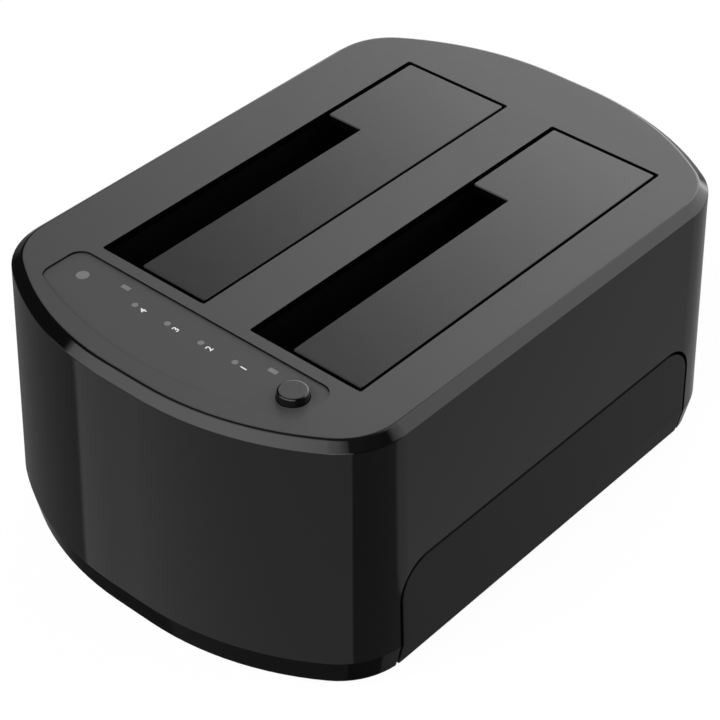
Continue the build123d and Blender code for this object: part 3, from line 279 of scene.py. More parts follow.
@dataclass(frozen=True)
class Finish:
    """A finish: the plain numbers of its shader and a soft mottling of its colour.

    Attributes:
        name: Name of the material.
        colour: Main colour, linear.
        roughness: Mean roughness.
        metallic: 1 for metal and 0 for everything else.
        coat: Strength of a clear gloss over it.
        shine: How strongly it mirrors, where 0.5 is plain plastic.
        mottle: How far the colour strays from its mean, as a share.
        mottle_size: Size of one blotch, in metres.
        grain_size: Size of one grain of the surface, in metres.
        grain_depth: Depth of the grain, in metres.
        scuff: How far the roughness strays from its mean.
    """

    name: str
    colour: Colour
    roughness: float
    metallic: float = 0.0
    coat: float = 0.0
    shine: float = 0.5
    mottle: float = 0.12
    mottle_size: float = 9 * MM
    grain_size: float = 0.22 * MM
    grain_depth: float = 0.012 * MM
    scuff: float = 0.04

    def material(self) -> bpy.types.Material:
        """Make the material, or find it if it is made already."""
        if self.name in bpy.data.materials:
            return bpy.data.materials[self.name]
        made = bpy.data.materials.new(self.name)
        made.use_nodes = True
        graph = ShaderGraph(made.node_tree)
        graph.finish(graph.surface(self.sockets(graph)))
        made.diffuse_color = (*self.colour, 1.0)
        return made

    def tone(self, graph: ShaderGraph) -> Signal:
        """Give the mottled colour."""
        dark = tuple(part * (1 - self.mottle) for part in self.colour)
        light = tuple(part * (1 + self.mottle) for part in self.colour)
        return graph.mix(graph.noise(self.mottle_size), dark, light)

    def relief(self, graph: ShaderGraph) -> Signal:
        """Give the grain as a normal."""
        return graph.bump(graph.noise(self.grain_size, detail=2.0), self.grain_depth)

    def polish(self, graph: ShaderGraph) -> Signal:
        """Give the roughness with its faint scuffs."""
        scuffs = graph.noise(self.mottle_size / 3, detail=5.0)
        return self.roughness + (scuffs - 0.5) * (2 * self.scuff)

    def sockets(self, graph: ShaderGraph) -> dict[str, object]:
        """Give the inputs of the surface shader."""
        return {
            "Base Color": self.tone(graph),
            "Roughness": self.polish(graph),
            "Metallic": self.metallic,
            "Coat Weight": self.coat,
            "Specular IOR Level": self.shine,
            "Normal": self.relief(graph),
        }


@dataclass(frozen=True)
class HousingBlack(Finish):
    """Black moulding, satin on its flat top and polished on its walls and bevel.

    Attributes:
        polished_colour: Colour of the walls, linear.
        polished_roughness: Mean roughness of the walls.
        polished_scuff: How far the walls' roughness strays from its mean.
        level: How upright the normal is where the satin top begins and is whole.
    """

    polished_colour: Colour = grey(0.0012)
    polished_roughness: float = 0.05
    polished_scuff: float = 0.01
    level: tuple[float, float] = (0.97, 0.998)

    def top(self, graph: ShaderGraph) -> Signal:
        """Give 1 on the flat top and 0 elsewhere."""
        normal = graph.node("ShaderNodeTexCoord", output="Normal")
        return graph.axis(normal, "Z").rise(*self.level)

    def sockets(self, graph: ShaderGraph) -> dict[str, object]:
        """Give the inputs of the surface shader, split between top and walls."""
        top = self.top(graph)
        wall = graph.noise(self.mottle_size * 2, detail=4.0)
        polished = self.polished_roughness + (wall - 0.5) * (2 * self.polished_scuff)
        grain = graph.noise(self.grain_size, detail=2.0) * top
        return {
            "Base Color": graph.mix(top, self.polished_colour, self.tone(graph)),
            "Roughness": polished * (1 - top) + self.polish(graph) * top,
            "Normal": graph.bump(grain, self.grain_depth),
        }


@dataclass(frozen=True)
class BoardLacquer(Finish):
    """Green lacquer over copper tracks, which show as paler bands in patches.

    Attributes:
        track: Colour over copper, linear.
        track_scale: Scale of the bands, which lie 0.31 m over this apart.
        wander: How far the tracks stray from straight lines.
        track_edge: Where in a band the copper begins and is whole.
        patch_size: Size of a patch of tracks, in metres.
        patch_edge: Where in the patches' noise the tracks begin and are whole.
    """

    track: Colour = (0.02, 0.16, 0.06)
    track_scale: float = 31.25
    wander: float = 3.0
    track_edge: tuple[float, float] = (0.42, 0.50)
    patch_size: float = 9.6 * MM
    patch_edge: tuple[float, float] = (0.46, 0.50)

    def tone(self, graph: ShaderGraph) -> Signal:
        """Give the lacquer's colour with the tracks under it."""
        bands = {"bands_direction": "X", "wave_profile": "SAW"}
        values = {
            "Vector": graph.place(),
            "Scale": self.track_scale,
            "Distortion": self.wander,
            "Detail": 1.0,
        }
        waves = graph.node("ShaderNodeTexWave", bands, values)
        patches = graph.noise(self.patch_size, detail=0.0).rise(*self.patch_edge)
        return graph.mix(waves.rise(*self.track_edge) * patches, self.colour, self.track)


@dataclass(frozen=True)
class DrawnMetal(Finish):
    """Metal with fine lines from rolling or turning, along one direction.

    Attributes:
        lines: How much longer the lines are along each axis.
    """

    lines: Point = (1, 12, 1)

    def relief(self, graph: ShaderGraph) -> Signal:
        """Give the lines as a normal."""
        lines = graph.noise(self.grain_size, detail=3.0, stretch=self.lines)
        return graph.bump(lines, self.grain_depth)


@dataclass(frozen=True)
class LensPlastic(Finish):
    """Milky clear plastic of a light pipe.

    Attributes:
        transmission: Share of the light that goes through.
        bend: Index at which it bends light.
    """

    transmission: float = 0.25
    bend: float = 1.49

    def sockets(self, graph: ShaderGraph) -> dict[str, object]:
        """Give the inputs of the surface shader, a little see-through."""
        through = {"Transmission Weight": self.transmission, "IOR": self.bend}
        return super().sockets(graph) | through


class Paint:
    """All finishes of the docking station."""

    HOUSING = HousingBlack("housing_plastic", grey(0.027), 0.44, mottle=0.05)
    BASE = HousingBlack("base_plastic", grey(0.012), 0.45, mottle=0.05, polished_roughness=0.46)
    FLAP = HousingBlack("flap_plastic", grey(0.007), 0.23, mottle=0.05, grain_depth=0.004 * MM)
    GUIDE = Finish("guide_plastic", grey(0.001), 0.70, shine=0.08)
    PANEL = Finish("panel_plastic", grey(0.043), 0.36, shine=0.25, mottle=0.05)
    BUTTON = HousingBlack("button_plastic", grey(0.023), 0.40, mottle=0.05, polished_roughness=0.13)
    WINDOW = LensPlastic("light_pipe_plastic", grey(0.155), 0.35, mottle=0.10, mottle_size=1.2 * MM)
    PRINT = Finish("pale_print", grey(0.62), 0.55, mottle=0.06, mottle_size=0.6 * MM)
    RUBBER = Finish("foot_rubber", grey(0.018), 0.80, grain_size=0.5 * MM, grain_depth=0.03 * MM)
    STEEL = DrawnMetal("plated_steel", grey(0.55), 0.28, metallic=1.0)
    SCREW = DrawnMetal("black_screw", (0.10, 0.10, 0.11), 0.35, metallic=1.0)
    SPRING = DrawnMetal("spring_wire", (0.52, 0.51, 0.50), 0.22, metallic=1.0)
    BOARD = BoardLacquer("board_lacquer", (0.006, 0.085, 0.03), 0.30, coat=0.4)
    PART = Finish("component_plastic", grey(0.018), 0.45)
    GOLD = DrawnMetal("gold_plating", (0.83, 0.56, 0.20), 0.25, metallic=1.0)
    CORE = Finish("socket_core_plastic", (0.010, 0.075, 0.38), 0.42)
    CABLE = Finish("cable_sleeve", grey(0.62), 0.50)
    SOCKET = Finish("cable_socket_plastic", (0.70, 0.66, 0.56), 0.45)
    CAN = DrawnMetal("capacitor_can", grey(0.72), 0.30, metallic=1.0)
    LED = Finish("led_resin", (0.75, 0.72, 0.50), 0.25)


class Bench:
    """Modelling by hand: selecting, editing and finishing one object at a time."""

    @staticmethod
    def clear() -> None:
        """Leave edit mode and deselect everything."""
        if bpy.context.object and bpy.context.object.mode != "OBJECT":
            bpy.ops.object.mode_set(mode="OBJECT")
        bpy.ops.object.select_all(action="DESELECT")

    @classmethod
    def pick(cls, *pieces: bpy.types.Object) -> None:
        """Select those objects alone and make the first one active."""
        cls.clear()
        for piece in pieces:
            piece.select_set(True)
        bpy.context.view_layer.objects.active = pieces[0]

    @classmethod
    def cylinder(
        cls, name: str, radius: float, low: Point, height: float, sides: int = 48
    ) -> bpy.types.Object:
        """Add an upright cylinder.

        Args:
            name: Name of the piece.
            radius: Its radius.
            low: Middle of its lower end.
            height: Its height.
            sides: How many sides it has.

        Returns:
            The new object.
        """
        cls.clear()
        middle = (low[0], low[1], low[2] + height / 2)
        bpy.ops.mesh.primitive_cylinder_add(
            vertices=sides, radius=radius, depth=height, location=middle
        )
        return cls._named(name)

    @classmethod
    def box(cls, name: str, size: Point, middle: Point) -> bpy.types.Object:
        """Add a box of that size about its middle."""
        cls.clear()
        bpy.ops.mesh.primitive_cube_add(size=1, location=middle)
        made = cls._named(name)
        made.scale = size
        cls.settle(made)
        return made

    @staticmethod
    def _named(name: str) -> bpy.types.Object:
        """Name the object just added, and its mesh."""
        made = bpy.context.object
        made.name = name
        made.data.name = name
        return made

    @classmethod
    def settle(cls, piece: bpy.types.Object) -> None:
        """Move an object's place, turn and size into its mesh."""
        cls.pick(piece)
        bpy.ops.object.transform_apply(location=True, rotation=True, scale=True)

    @classmethod
    @contextmanager
    def editing(cls, piece: bpy.types.Object) -> Iterator[None]:
        """Edit one object's mesh, with nothing selected at first."""
        cls.pick(piece)
        bpy.ops.object.mode_set(mode="EDIT")
        bpy.ops.mesh.select_mode(type="FACE")
        bpy.ops.mesh.select_all(action="DESELECT")
        yield
        bpy.ops.object.mode_set(mode="OBJECT")

    @staticmethod
    def select_faces(piece: bpy.types.Object, wanted: FaceTest) -> None:
        """Select the faces whose middle and normal pass the test, in edit mode."""
        mesh = bmesh.from_edit_mesh(piece.data)
        for face in mesh.faces:
            face.select_set(wanted(face.calc_center_median(), face.normal))
        mesh.select_flush_mode()
        bmesh.update_edit_mesh(piece.data)

    @classmethod
    def modify(cls, piece: bpy.types.Object, kind: str, **settings: object) -> None:
        """Add a modifier with those settings and apply it."""
        cls.pick(piece)
        modifier = piece.modifiers.new(kind.title(), kind)
        for name, value in settings.items():
            setattr(modifier, name, value)
        bpy.ops.object.modifier_apply(modifier=modifier.name)

    @classmethod
    def cut(cls, piece: bpy.types.Object, cutter: bpy.types.Object) -> None:
        """Take the cutter's shape out of the piece, and the cutter away."""
        cls.modify(piece, "BOOLEAN", operation="DIFFERENCE", solver="EXACT", object=cutter)
        bpy.data.objects.remove(cutter)

    @classmethod
    def join(cls, name: str, pieces: Sequence[bpy.types.Object]) -> bpy.types.Object:
        """Join several objects into one.

        Args:
            name: Name of the joined piece.
            pieces: The objects, the first of which stays.

        Returns:
            The joined object.
        """
        cls.pick(*pieces)
        if len(pieces) > 1:
            bpy.ops.object.join()
        return cls._named(name)

    @classmethod
    def smooth(cls, piece: bpy.types.Object, angle: float = 35.0) -> None:
        """Shade smooth, with edges sharper than the angle, in degrees, kept."""
        cls.pick(piece)
        bpy.ops.object.shade_smooth_by_angle(angle=math.radians(angle))

    @staticmethod
    def copy(piece: bpy.types.Object, shift: Vector) -> bpy.types.Object:
        """Copy a piece with its own mesh, moved by shift."""
        made = piece.copy()
        made.data = piece.data.copy()
        made.data.transform(Matrix.Translation(shift))
        bpy.context.scene.collection.objects.link(made)
        return made


class Fitter:
    """Gives pieces their finish, hides the nodes that new pieces stand for, and reports them."""

    def __init__(self, nodes: dict[str, bpy.types.Object]) -> None:
        """Keep the frame's nodes."""
        self.nodes = nodes

    def dress(self, finish: Finish, *names: str) -> None:
        """Give CAD nodes a finish."""
        for name in names:
            self.coat(self.nodes[name], finish)
            LOG.info("dressed %s in %s", name, finish.name)

    @staticmethod
    def coat(piece: bpy.types.Object, finish: Finish) -> None:
        """Put one material on the whole piece."""
        piece.data.materials.clear()
        piece.data.materials.append(finish.material())

    def fit(self, piece: bpy.types.Object, finish: Finish, slot: Slot, *replaced: str) -> None:
        """Finish a new piece and hide the nodes that it stands for."""
        self.coat(piece, finish)
        if replaced:
            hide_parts(*replaced)
        LOG.info("made %s in %s with %d faces", piece.name, finish.name, len(piece.data.polygons))


@dataclass
class Screws:
    """Pan-head screws with a cross recess, one set for each CAD node of screws.

    The sizes that are given here are the small screws' own.

    Attributes:
        fitter: Gives finishes.
        node: The CAD node that the set stands for.
        head_radius: Radius of a head.
        head_height: Height of a head.
        shank_radius: Radius of a shank over its thread.
        downwards: Whether the heads point down.
        rim_tolerance: How near the head's end a point of the rim lies.
        rim_reach: How far two points of one rim are apart at most, as a share of the head's radius.
        round_share: Round of the head's edge, as a share of its height.
        recess_reach: Reach of the cross, as a share of the head's radius.
        recess_width: Width of the cross's arms, as a share of the head's radius.
        recess_depth: Depth of the cross, as a share of the head's height.
        shank_sides: How many sides a shank has.
        tip_share: How far the tip tapers in, as a share of the shank's radius under its thread.
        tip_length: How far the tip stands out.
        plain_length: Length of the shank that has no thread.
        thread_pitch: Distance from one turn of the thread to the next.
        thread_depth: Depth of the thread, as a share of the shank's radius.
        thread_half: Half of the thread's width at its foot, as a share of its pitch.
        thread_foot: Where the thread's foot lies, as a share of the radius under the thread.
        turn_steps: Steps in one turn of the thread.
    """

    fitter: Fitter
    node: str
    head_radius: float = 1.9 * MM
    head_height: float = 1.3 * MM
    shank_radius: float = 1.0 * MM
    downwards: bool = True
    rim_tolerance: float = 0.05 * MM
    rim_reach: float = 2.2
    round_share: float = 0.45
    recess_reach: float = 0.62
    recess_width: float = 0.24
    recess_depth: float = 0.72
    shank_sides: int = 24
    tip_share: float = 0.4
    tip_length: float = 0.2 * MM
    plain_length: float = 1.2 * MM
    thread_pitch: float = 1.1 * MM
    thread_depth: float = 0.22
    thread_half: float = 0.36
    thread_foot: float = 0.9
    turn_steps: int = 20

    def places(self) -> list[Point]:
        """Find the middle of each screw's head end from the CAD solids."""
        source = self.fitter.nodes[self.node].data
        low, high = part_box(self.node)
        end = low.z if self.downwards else high.z
        rim = [v.co for v in source.vertices if abs(v.co.z - end) < self.rim_tolerance]
        found: list[Point] = []
        for point in rim:
            near = [p for p in rim if (p - point).length < self.rim_reach * self.head_radius]
            middle_x = (min(p.x for p in near) + max(p.x for p in near)) / 2
            middle_y = (min(p.y for p in near) + max(p.y for p in near)) / 2
            if all(math.dist((middle_x, middle_y), f[:2]) > self.head_radius for f in found):
                found.append((middle_x, middle_y, end))
        return found

    def build(self) -> bpy.types.Object:
        """Make the set and let it stand for its node.

        Returns:
            The set of screws.
        """
        low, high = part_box(self.node)
        places = self.places()
        first = self._screw(places[0], high.z - low.z)
        copies = [Bench.copy(first, Vector(place) - Vector(places[0])) for place in places[1:]]
        made = Bench.join(f"{self.node}_made", [first, *copies])
        Bench.smooth(made)
        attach(made, DOCK)
        self.fitter.fit(made, Paint.SCREW, Slot.STEEL, self.node)
        return made

    def _screw(self, end: Point, length: float) -> bpy.types.Object:
        """Model one screw from the middle of its head's end."""
        root = self.shank_radius * (1 - self.thread_depth)
        shank_length = length - self.head_height
        shank_low = end[2] + self.head_height if self.downwards else end[2] - length
        head = self._head(end)
        shank = self._shank((end[0], end[1], shank_low), root, shank_length)
        thread = self._thread(end, root, shank_low, shank_length)
        return Bench.join("screw", [head, shank, thread])

    def _head(self, end: Point) -> bpy.types.Object:
        """Model the rounded head and press the cross into it."""
        up = 1 if self.downwards else -1
        low = end[2] if self.downwards else end[2] - self.head_height
        head = Bench.cylinder("head", self.head_radius, (end[0], end[1], low), self.head_height)
        with Bench.editing(head):
            Bench.select_faces(head, lambda middle, normal: normal.z * up < -FACING)
            round_size = self.head_height * self.round_share
            bpy.ops.mesh.bevel(offset=round_size, segments=5, affect="EDGES")
        arm = self.head_radius * self.recess_width
        reach = 2 * self.head_radius * self.recess_reach
        depth = 2 * self.head_height * self.recess_depth
        for size in ((reach, arm, depth), (arm, reach, depth)):
            Bench.cut(head, Bench.box("cross", size, end))
        return head

    def _shank(self, low: Point, root: float, length: float) -> bpy.types.Object:
        """Model the bare shank with its blunt tip."""
        up = 1 if self.downwards else -1
        shank = Bench.cylinder("shank", root, low, length, sides=self.shank_sides)
        tip = low[2] + length if self.downwards else low[2]
        with Bench.editing(shank):
            Bench.select_faces(shank, lambda middle, normal: abs(middle.z - tip) < CLOSE)
            bpy.ops.mesh.inset(thickness=root * self.tip_share, depth=0)
            bpy.ops.transform.translate(value=(0, 0, -self.tip_length * up))
        return shank

    def _thread(self, end: Point, root: float, low: float, length: float) -> bpy.types.Object:
        """Wind the thread's ridge around the shank."""
        turns = max(1, int((length - self.plain_length) / self.thread_pitch))
        half = self.thread_pitch * self.thread_half
        crest = self.shank_radius
        inner = root * self.thread_foot
        corners = [(inner, 0, -half), (crest, 0, 0), (inner, 0, half)]
        profile = bpy.data.meshes.new("thread")
        profile.from_pydata(corners, [(0, 1), (1, 2), (2, 0)], [])
        ridge = bpy.data.objects.new("thread", profile)
        bpy.context.scene.collection.objects.link(ridge)
        Bench.modify(
            ridge,
            "SCREW",
            axis="Z",
            angle=math.tau * turns,
            screw_offset=self.thread_pitch * turns,
            steps=self.turn_steps * turns,
            render_steps=self.turn_steps * turns,
            use_merge_vertices=False,
        )
        with Bench.editing(ridge):
            bpy.ops.mesh.select_all(action="SELECT")
            bpy.ops.mesh.fill_holes(sides=3)
            bpy.ops.mesh.normals_make_consistent(inside=False)
        foot = low + (length - self.thread_pitch * turns) / 2
        ridge.data.transform(Matrix.Translation((end[0], end[1], foot)))
        return ridge


@dataclass
class FlapHinge:
    """One bay's spring flap, its hinge pin and the torsion spring that shuts it.

    Attributes:
        fitter: Gives finishes.
        side: Which bay it is over.
        wire: Diameter of the spring's wire.
        turns: Turns of the coil.
        wire_sides: Sides of the wire's section.
        turn_steps: Steps in one turn of the coil.
        smooth_angle: Angle past which an edge stays sharp, in degrees.
    """

    fitter: Fitter
    side: Side
    wire: float = 0.4 * MM
    turns: int = 4
    wire_sides: int = 10
    turn_steps: int = 28
    smooth_angle: float = 50.0

    def build(self) -> None:
        """Dress the flap and its pin, and wind the spring."""
        name = self.side.value
        self.fitter.dress(Paint.FLAP, f"flap_{name}")
        self.fitter.dress(Paint.STEEL, f"hinge_pin_{name}")
        self._spring()

    def _spring(self) -> None:
        """Wind the spring, with one leg run out towards the dock and the other towards the flap."""
        name = self.side.value
        pin_low, pin_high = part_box(f"hinge_pin_{name}")
        low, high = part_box(f"flap_spring_{name}")
        axis_x = (pin_low.x + pin_high.x) / 2
        axis_z = (pin_low.z + pin_high.z) / 2
        radius = (high.z - low.z) / 2 - self.wire / 2
        flap_y = low.y + self.wire / 2
        wall_y = high.y - self.wire / 2
        coil = self._coil(radius, flap_y - wall_y)
        coil.data.transform(Matrix.Translation((axis_x, wall_y, axis_z)))
        legs = {wall_y: high.x - axis_x, flap_y: low.x - axis_x}
        with Bench.editing(coil):
            bpy.ops.mesh.select_all(action="SELECT")
            bpy.ops.mesh.fill_holes(sides=self.wire_sides)
            for end_y, reach in legs.items():
                cap = Vector((axis_x, end_y, axis_z - radius))
                Bench.select_faces(
                    coil,
                    lambda middle, normal: abs(normal.x) > FACING
                    and max(abs(part) for part in middle - cap) < self.wire / 4,
                )
                bpy.ops.mesh.extrude_region_move(TRANSFORM_OT_translate={"value": (reach, 0, 0)})
            bpy.ops.mesh.select_all(action="SELECT")
            bpy.ops.mesh.normals_make_consistent(inside=False)
        spring = Bench.join(f"flap_spring_{name}_wound", [coil])
        Bench.smooth(spring, self.smooth_angle)
        self.fitter.fit(spring, Paint.SPRING, Slot.SPRING, f"flap_spring_{name}")
        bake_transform(spring)

    def _coil(self, radius: float, rise: float) -> bpy.types.Object:
        """Wind the open coil about the Y axis, with its first end under the origin."""
        Bench.clear()
        bpy.ops.mesh.primitive_circle_add(
            vertices=self.wire_sides,
            radius=self.wire / 2,
            location=(0, 0, 0),
            rotation=(0, math.pi / 2, 0),
        )
        coil = bpy.context.object
        Bench.settle(coil)
        coil.data.transform(Matrix.Translation((0, 0, -radius)))
        Bench.modify(
            coil,
            "SCREW",
            axis="Y",
            angle=-math.tau * self.turns,
            screw_offset=rise,
            steps=self.turn_steps * self.turns,
            render_steps=self.turn_steps * self.turns,
            use_merge_vertices=False,
        )
        return coil


@dataclass
class IndicatorPanel:
    """The sunken panel with its lights, and the plain number beside each progress light.

    Attributes:
        fitter: Gives finishes.
        count: How many progress lights there are.
        number_height: Height of a number.
        figure_share: Height of a figure, as a share of the type's size.
        number_shift: From a light's middle to its number's middle.
        number_weight: How much broader the number's strokes are on each side.
        ink: Thickness of the print.
    """

    fitter: Fitter
    count: int = 4
    number_height: float = 1.65 * MM
    figure_share: float = 0.7
    number_shift: tuple[float, float] = (2.8 * MM, -0.3 * MM)
    number_weight: float = 0.03 * MM
    ink: float = 0.03 * MM

    def build(self) -> None:
        """Dress the panel and its lights, and print the numbers."""
        self.fitter.dress(Paint.PANEL, "indicator_panel")
        lights = [f"progress_light_{i + 1}" for i in range(self.count)]
        self.fitter.dress(Paint.WINDOW, *lights, "power_light", "source_light", "target_light")
        for number, light in enumerate(lights, start=1):
            self._number(number, light)

    def _number(self, number: int, light: str) -> None:
        """Print one number beside its light, reading from the front to the rear."""
        low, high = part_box(light)
        window = (low + high) / 2
        panel_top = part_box("indicator_panel")[1].z
        along_x, along_y = self.number_shift
        place = Vector((window.x + along_x, window.y + along_y, panel_top + self.ink / 2))
        Bench.clear()
        bpy.ops.object.text_add(location=(0, 0, 0))
        text = bpy.context.object
        text.data.body = str(number)
        text.data.align_x = "CENTER"
        text.data.align_y = "CENTER"
        text.data.size = self.number_height / self.figure_share
        text.data.extrude = self.ink / 2
        text.data.offset = self.number_weight
        Bench.pick(text)
        bpy.ops.object.convert(target="MESH")
        piece = bpy.context.object
        piece.matrix_world = Matrix.Translation(place) @ Matrix.Rotation(math.radians(90), 4, "Z")
        Bench.settle(piece)
        piece.name = f"number_{number}"
        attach(piece, DOCK)
        self.fitter.fit(piece, Paint.PRINT, Slot.PRINT)


@dataclass
class Housing:
    """The two shells, the drive guides and the feet.

    Attributes:
        fitter: Gives finishes.
    """

    fitter: Fitter

    def build(self) -> None:
        """Dress the outer and inner mouldings."""
        self.fitter.dress(Paint.HOUSING, "top_housing")
        self.fitter.dress(Paint.BASE, "base_cover")
        self.fitter.dress(Paint.GUIDE, "drive_guide_left", "drive_guide_right")
        feet = [f"rubber_foot_{end}_{side.value}" for end in ("front", "rear") for side in Side]
        self.fitter.dress(Paint.RUBBER, *feet)


@dataclass
class Controls:
    """The clone button, the power button and their switches.

    Attributes:
        fitter: Gives finishes.
    """

    fitter: Fitter

    def build(self) -> None:
        """Dress the buttons and switches."""
        self.fitter.dress(Paint.BUTTON, "clone_button", "power_button")
        self.fitter.dress(Paint.PART, "clone_switch", "power_switch")
        self.fitter.dress(Paint.SOCKET, "clone_switch_plunger")


@dataclass
class Electronics:
    """The boards with their parts, the cable between them and all connectors.

    Attributes:
        fitter: Gives finishes.
    """

    fitter: Fitter

    def build(self) -> None:
        """Dress the boards and what is soldered to them."""
        self.fitter.dress(Paint.BOARD, "main_board", "indicator_board")
        self.fitter.dress(Paint.PART, "bridge_chips", "regulator_coils", "power_jack")
        self.fitter.dress(Paint.PART, "drive_connector_left", "drive_connector_right")
        self.fitter.dress(Paint.GOLD, "drive_contacts_left", "drive_contacts_right")
        self.fitter.dress(Paint.STEEL, "usb_socket_shell", "power_jack_pin")
        self.fitter.dress(Paint.CORE, "usb_socket_core")
        self.fitter.dress(Paint.CAN, "capacitors")
        self.fitter.dress(Paint.LED, "indicator_leds")
        self.fitter.dress(Paint.CABLE, "flat_cable")
        self.fitter.dress(Paint.SOCKET, "cable_sockets")


@dataclass(frozen=True)
class Card:
    """A soft-edged bright sector of the surroundings, told by direction.

    Attributes:
        azimuth: Middle of the sector, in degrees from +X towards +Y.
        high: Light from it above the horizon, at its brightest.
        slope: Share of the direction along Y at which that light starts and is whole.
        half_width: Half of the sector's width, in degrees.
        softness: Half of the width of its soft edge, in degrees.
        ground: Height of the direction at which the ground's soft edge starts and ends.
        horizon: Height at which the light from above the horizon starts and is whole.
        under: Light from it below the edge of the ground.
        low: Light from it between there and the horizon.
    """

    azimuth: float
    high: float
    slope: tuple[float, float]
    half_width: float = 29.5
    softness: float = 4.0
    ground: tuple[float, float] = (-0.77, -0.65)
    horizon: tuple[float, float] = (-0.12, 0.04)
    under: float = 0.095
    low: float = 0.195


FRONT_CARD = Card(
    -90.8,
    2.40,
    (0.14, 0.66),
    half_width=59.7,
    softness=1.5,
    ground=(-0.80, -0.69),
    horizon=(0.00, 0.45),
    under=0.036,
    low=0.285,
)
REAR_RIGHT_CARD = Card(60.5, 1.84, (0.24, 0.69))
REAR_LEFT_CARD = Card(119.5, 2.70, (0.54, 0.77))
REAR_LEFT_FILL = Card(119.5, 0.26, (0.15, 0.45), under=0.0, low=0.0)


@dataclass(frozen=True)
class Lamp:
    """A soft round lamp that faces the object, out of its reflections.

    Attributes:
        name: Name of the lamp.
        place: Where it hangs.
        size: Its diameter.
        power: Its power, in watts.
    """

    name: str
    place: Point
    size: float
    power: float

    def hang(self) -> None:
        """Hang the lamp in the scene."""
        data = bpy.data.lights.new(self.name, "AREA")
        data.shape = "DISK"
        data.size = self.size
        data.energy = self.power
        lamp = bpy.data.objects.new(self.name, data)
        lamp.location = self.place
        lamp.rotation_euler = Vector(self.place).to_track_quat("Z", "Y").to_euler()
        lamp.visible_glossy = False
        bpy.context.scene.collection.objects.link(lamp)


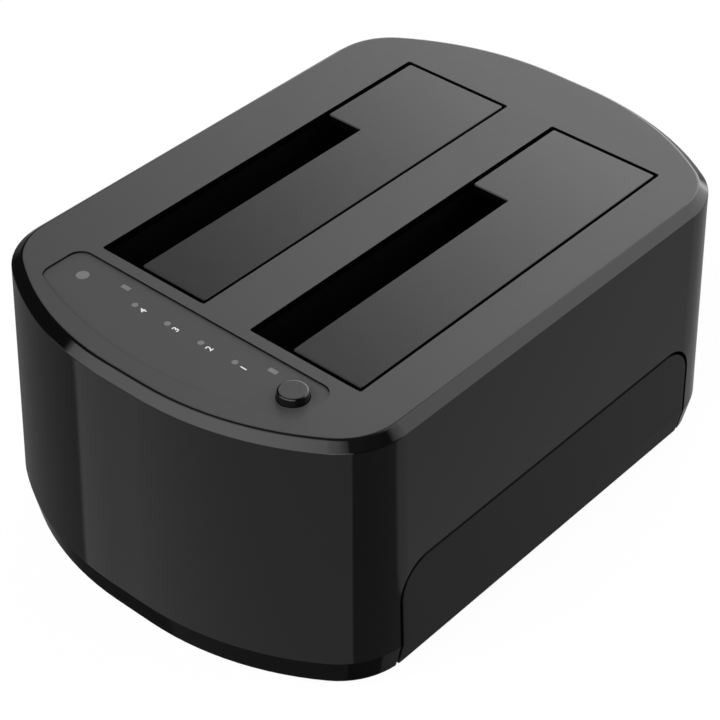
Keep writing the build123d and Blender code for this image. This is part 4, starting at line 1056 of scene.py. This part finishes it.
@dataclass
class Studio:
    """Camera, floor and soft light.

    Attributes:
        eye: Where the camera stands.
        azimuth: Direction of the camera from the object, in degrees from -Y towards +X.
        elevation: Height of the camera over the horizon, in degrees.
        roll: Lean of the camera, in degrees.
        lens: Focal length, in millimetres.
        sensor: Width of the sensor, in millimetres.
        floor_size: Length of the floor's sides.
        floor_tone: How pale the floor is to the object.
        floor_glow: How bright it is to the camera of its own, where 1 is white.
        gap_light: Light between the cards: under the ground's edge, over it, over the horizon.
        zenith_light: Light from straight above.
        ground_edge: Height of the direction at which the ground's edge starts and ends.
        horizon_edge: Height at which the light from above the horizon starts and is whole.
        ceiling_edge: Height at which the light from above starts and is whole.
        cards: Bright sectors around the object.
        lamps: Soft lamps that lift the shadows.
    """

    eye: Point = (272.44 * MM, -316.02 * MM, 360.20 * MM)
    azimuth: float = 40.979
    elevation: float = 38.773
    roll: float = 0.279
    lens: float = 113.605
    sensor: float = 36.0
    floor_size: float = 6.0
    floor_tone: float = 0.80
    floor_glow: float = 0.95
    gap_light: tuple[float, float, float] = (0.034, 0.136, 0.036)
    zenith_light: float = 0.08
    ground_edge: tuple[float, float] = (-0.79, -0.68)
    horizon_edge: tuple[float, float] = (-0.12, 0.04)
    ceiling_edge: tuple[float, float] = (0.60, 0.90)
    cards: Sequence[Card] = (FRONT_CARD, REAR_RIGHT_CARD, REAR_LEFT_CARD, REAR_LEFT_FILL)
    lamps: Sequence[Lamp] = (
        Lamp("key_lamp", (-0.55, -0.65, 0.75), 0.7, 5.0),
        Lamp("fill_lamp", (0.75, 0.55, 0.85), 0.8, 4.0),
    )

    def build(self) -> None:
        """Set up the camera, the floor and the light."""
        bpy.context.scene.view_settings.view_transform = "Standard"
        self._camera()
        self._floor()
        self._surroundings()
        for lamp in self.lamps:
            lamp.hang()

    def _camera(self) -> None:
        """Stand the camera where it was worked out to be."""
        turn, rise, lean = (math.radians(a) for a in (self.azimuth, self.elevation, self.roll))
        flat = math.cos(rise)
        back = Vector((math.sin(turn) * flat, -math.cos(turn) * flat, math.sin(rise)))
        level = Vector((math.cos(turn), math.sin(turn), 0))
        upright = back.cross(level)
        right = level * math.cos(lean) + upright * math.sin(lean)
        up = upright * math.cos(lean) - level * math.sin(lean)
        data = bpy.data.cameras.new("camera")
        data.lens = self.lens
        data.sensor_width = self.sensor
        camera = bpy.data.objects.new("camera", data)
        turned = Matrix((right, up, back)).transposed().to_4x4()
        camera.matrix_world = Matrix.Translation(self.eye) @ turned
        bpy.context.scene.collection.objects.link(camera)
        bpy.context.scene.camera = camera

    def _floor(self) -> None:
        """Lay the pale floor, white to the camera but for the object's soft shadow."""
        Bench.clear()
        bpy.ops.mesh.primitive_plane_add(size=self.floor_size, location=(0, 0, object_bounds()[0][2]))
        floor = bpy.context.object
        floor.name = "floor"
        floor.visible_glossy = False
        made = bpy.data.materials.new("floor_white")
        made.use_nodes = True
        graph = ShaderGraph(made.node_tree)
        plain = graph.node("ShaderNodeBsdfDiffuse", None, {"Color": (*grey(self.floor_tone), 1.0)})
        tint = graph.node("ShaderNodeBsdfDiffuse", None, {"Color": (*grey(1 - self.floor_glow), 1.0)})
        glow = graph.node("ShaderNodeEmission", None, {"Color": (*grey(self.floor_glow), 1.0)})
        seen = graph.node("ShaderNodeAddShader", None, {0: tint, 1: glow})
        camera = graph.node("ShaderNodeLightPath", output="Is Camera Ray")
        graph.finish(graph.node("ShaderNodeMixShader", None, {0: camera, 1: plain, 2: seen}))
        floor.data.materials.append(made)
        floor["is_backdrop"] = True

    def _surroundings(self) -> None:
        """Light from all around: bright cards between dark gaps, and white to the camera."""
        world = bpy.data.worlds.new("studio")
        world.use_nodes = True
        bpy.context.scene.world = world
        graph = ShaderGraph(world.node_tree)
        direction = graph.node("ShaderNodeTexCoord", output="Generated")
        across, along, height = (graph.axis(direction, name) for name in "XYZ")
        level = (across * across + along * along).most(LEAST) ** 0.5
        ground = height.rise(*self.ground_edge)
        above = height.rise(*self.horizon_edge)
        zenith = height.rise(*self.ceiling_edge) * self.zenith_light
        light = self._by_height(self.gap_light, ground, above) + zenith
        for card in self.cards:
            turn = math.radians(card.azimuth)
            facing = (across * math.cos(turn) + along * math.sin(turn)) / level
            outer = math.cos(math.radians(card.half_width + card.softness))
            inner = math.cos(math.radians(card.half_width - card.softness))
            lit = (along * math.copysign(1, turn)).rise(*card.slope) * card.high
            edges = (height.rise(*card.ground), height.rise(*card.horizon))
            strength = self._by_height((card.under, card.low, lit), *edges)
            light = light + facing.rise(outer, inner) * strength
        camera = graph.node("ShaderNodeLightPath", output="Is Camera Ray")
        shown = light * (1 - camera) + camera
        white = (*grey(1.0), 1.0)
        sky = graph.node("ShaderNodeBackground", None, {"Color": white, "Strength": shown})
        graph.finish(sky, "ShaderNodeOutputWorld")

    @staticmethod
    def _by_height(
        levels: tuple[float, float, float | Signal], ground: Signal, above: Signal
    ) -> Signal:
        """Choose between the light under the ground's edge, above that, and above the horizon."""
        under, low, high = levels
        return (ground - above) * low + (1 - ground) * under + above * high


def main() -> None:
    """Load the frame, build and dress every sub-assembly, and light the scene."""
    logging.basicConfig(level=logging.INFO, format="%(name)s: %(message)s")
    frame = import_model()
    fitter = Fitter(frame["nodes"])
    Housing(fitter).build()
    for side in Side:
        FlapHinge(fitter, side).build()
    IndicatorPanel(fitter).build()
    Controls(fitter).build()
    Electronics(fitter).build()
    for screws in (
        Screws(fitter, "case_screws", 2.7 * MM, 1.8 * MM, 1.45 * MM),
        Screws(fitter, "guide_screws"),
        Screws(fitter, "main_board_screws", downwards=False),
        Screws(fitter, "panel_board_screws"),
    ):
        screws.build()
    Studio().build()


if __name__ == "__main__":
    main()
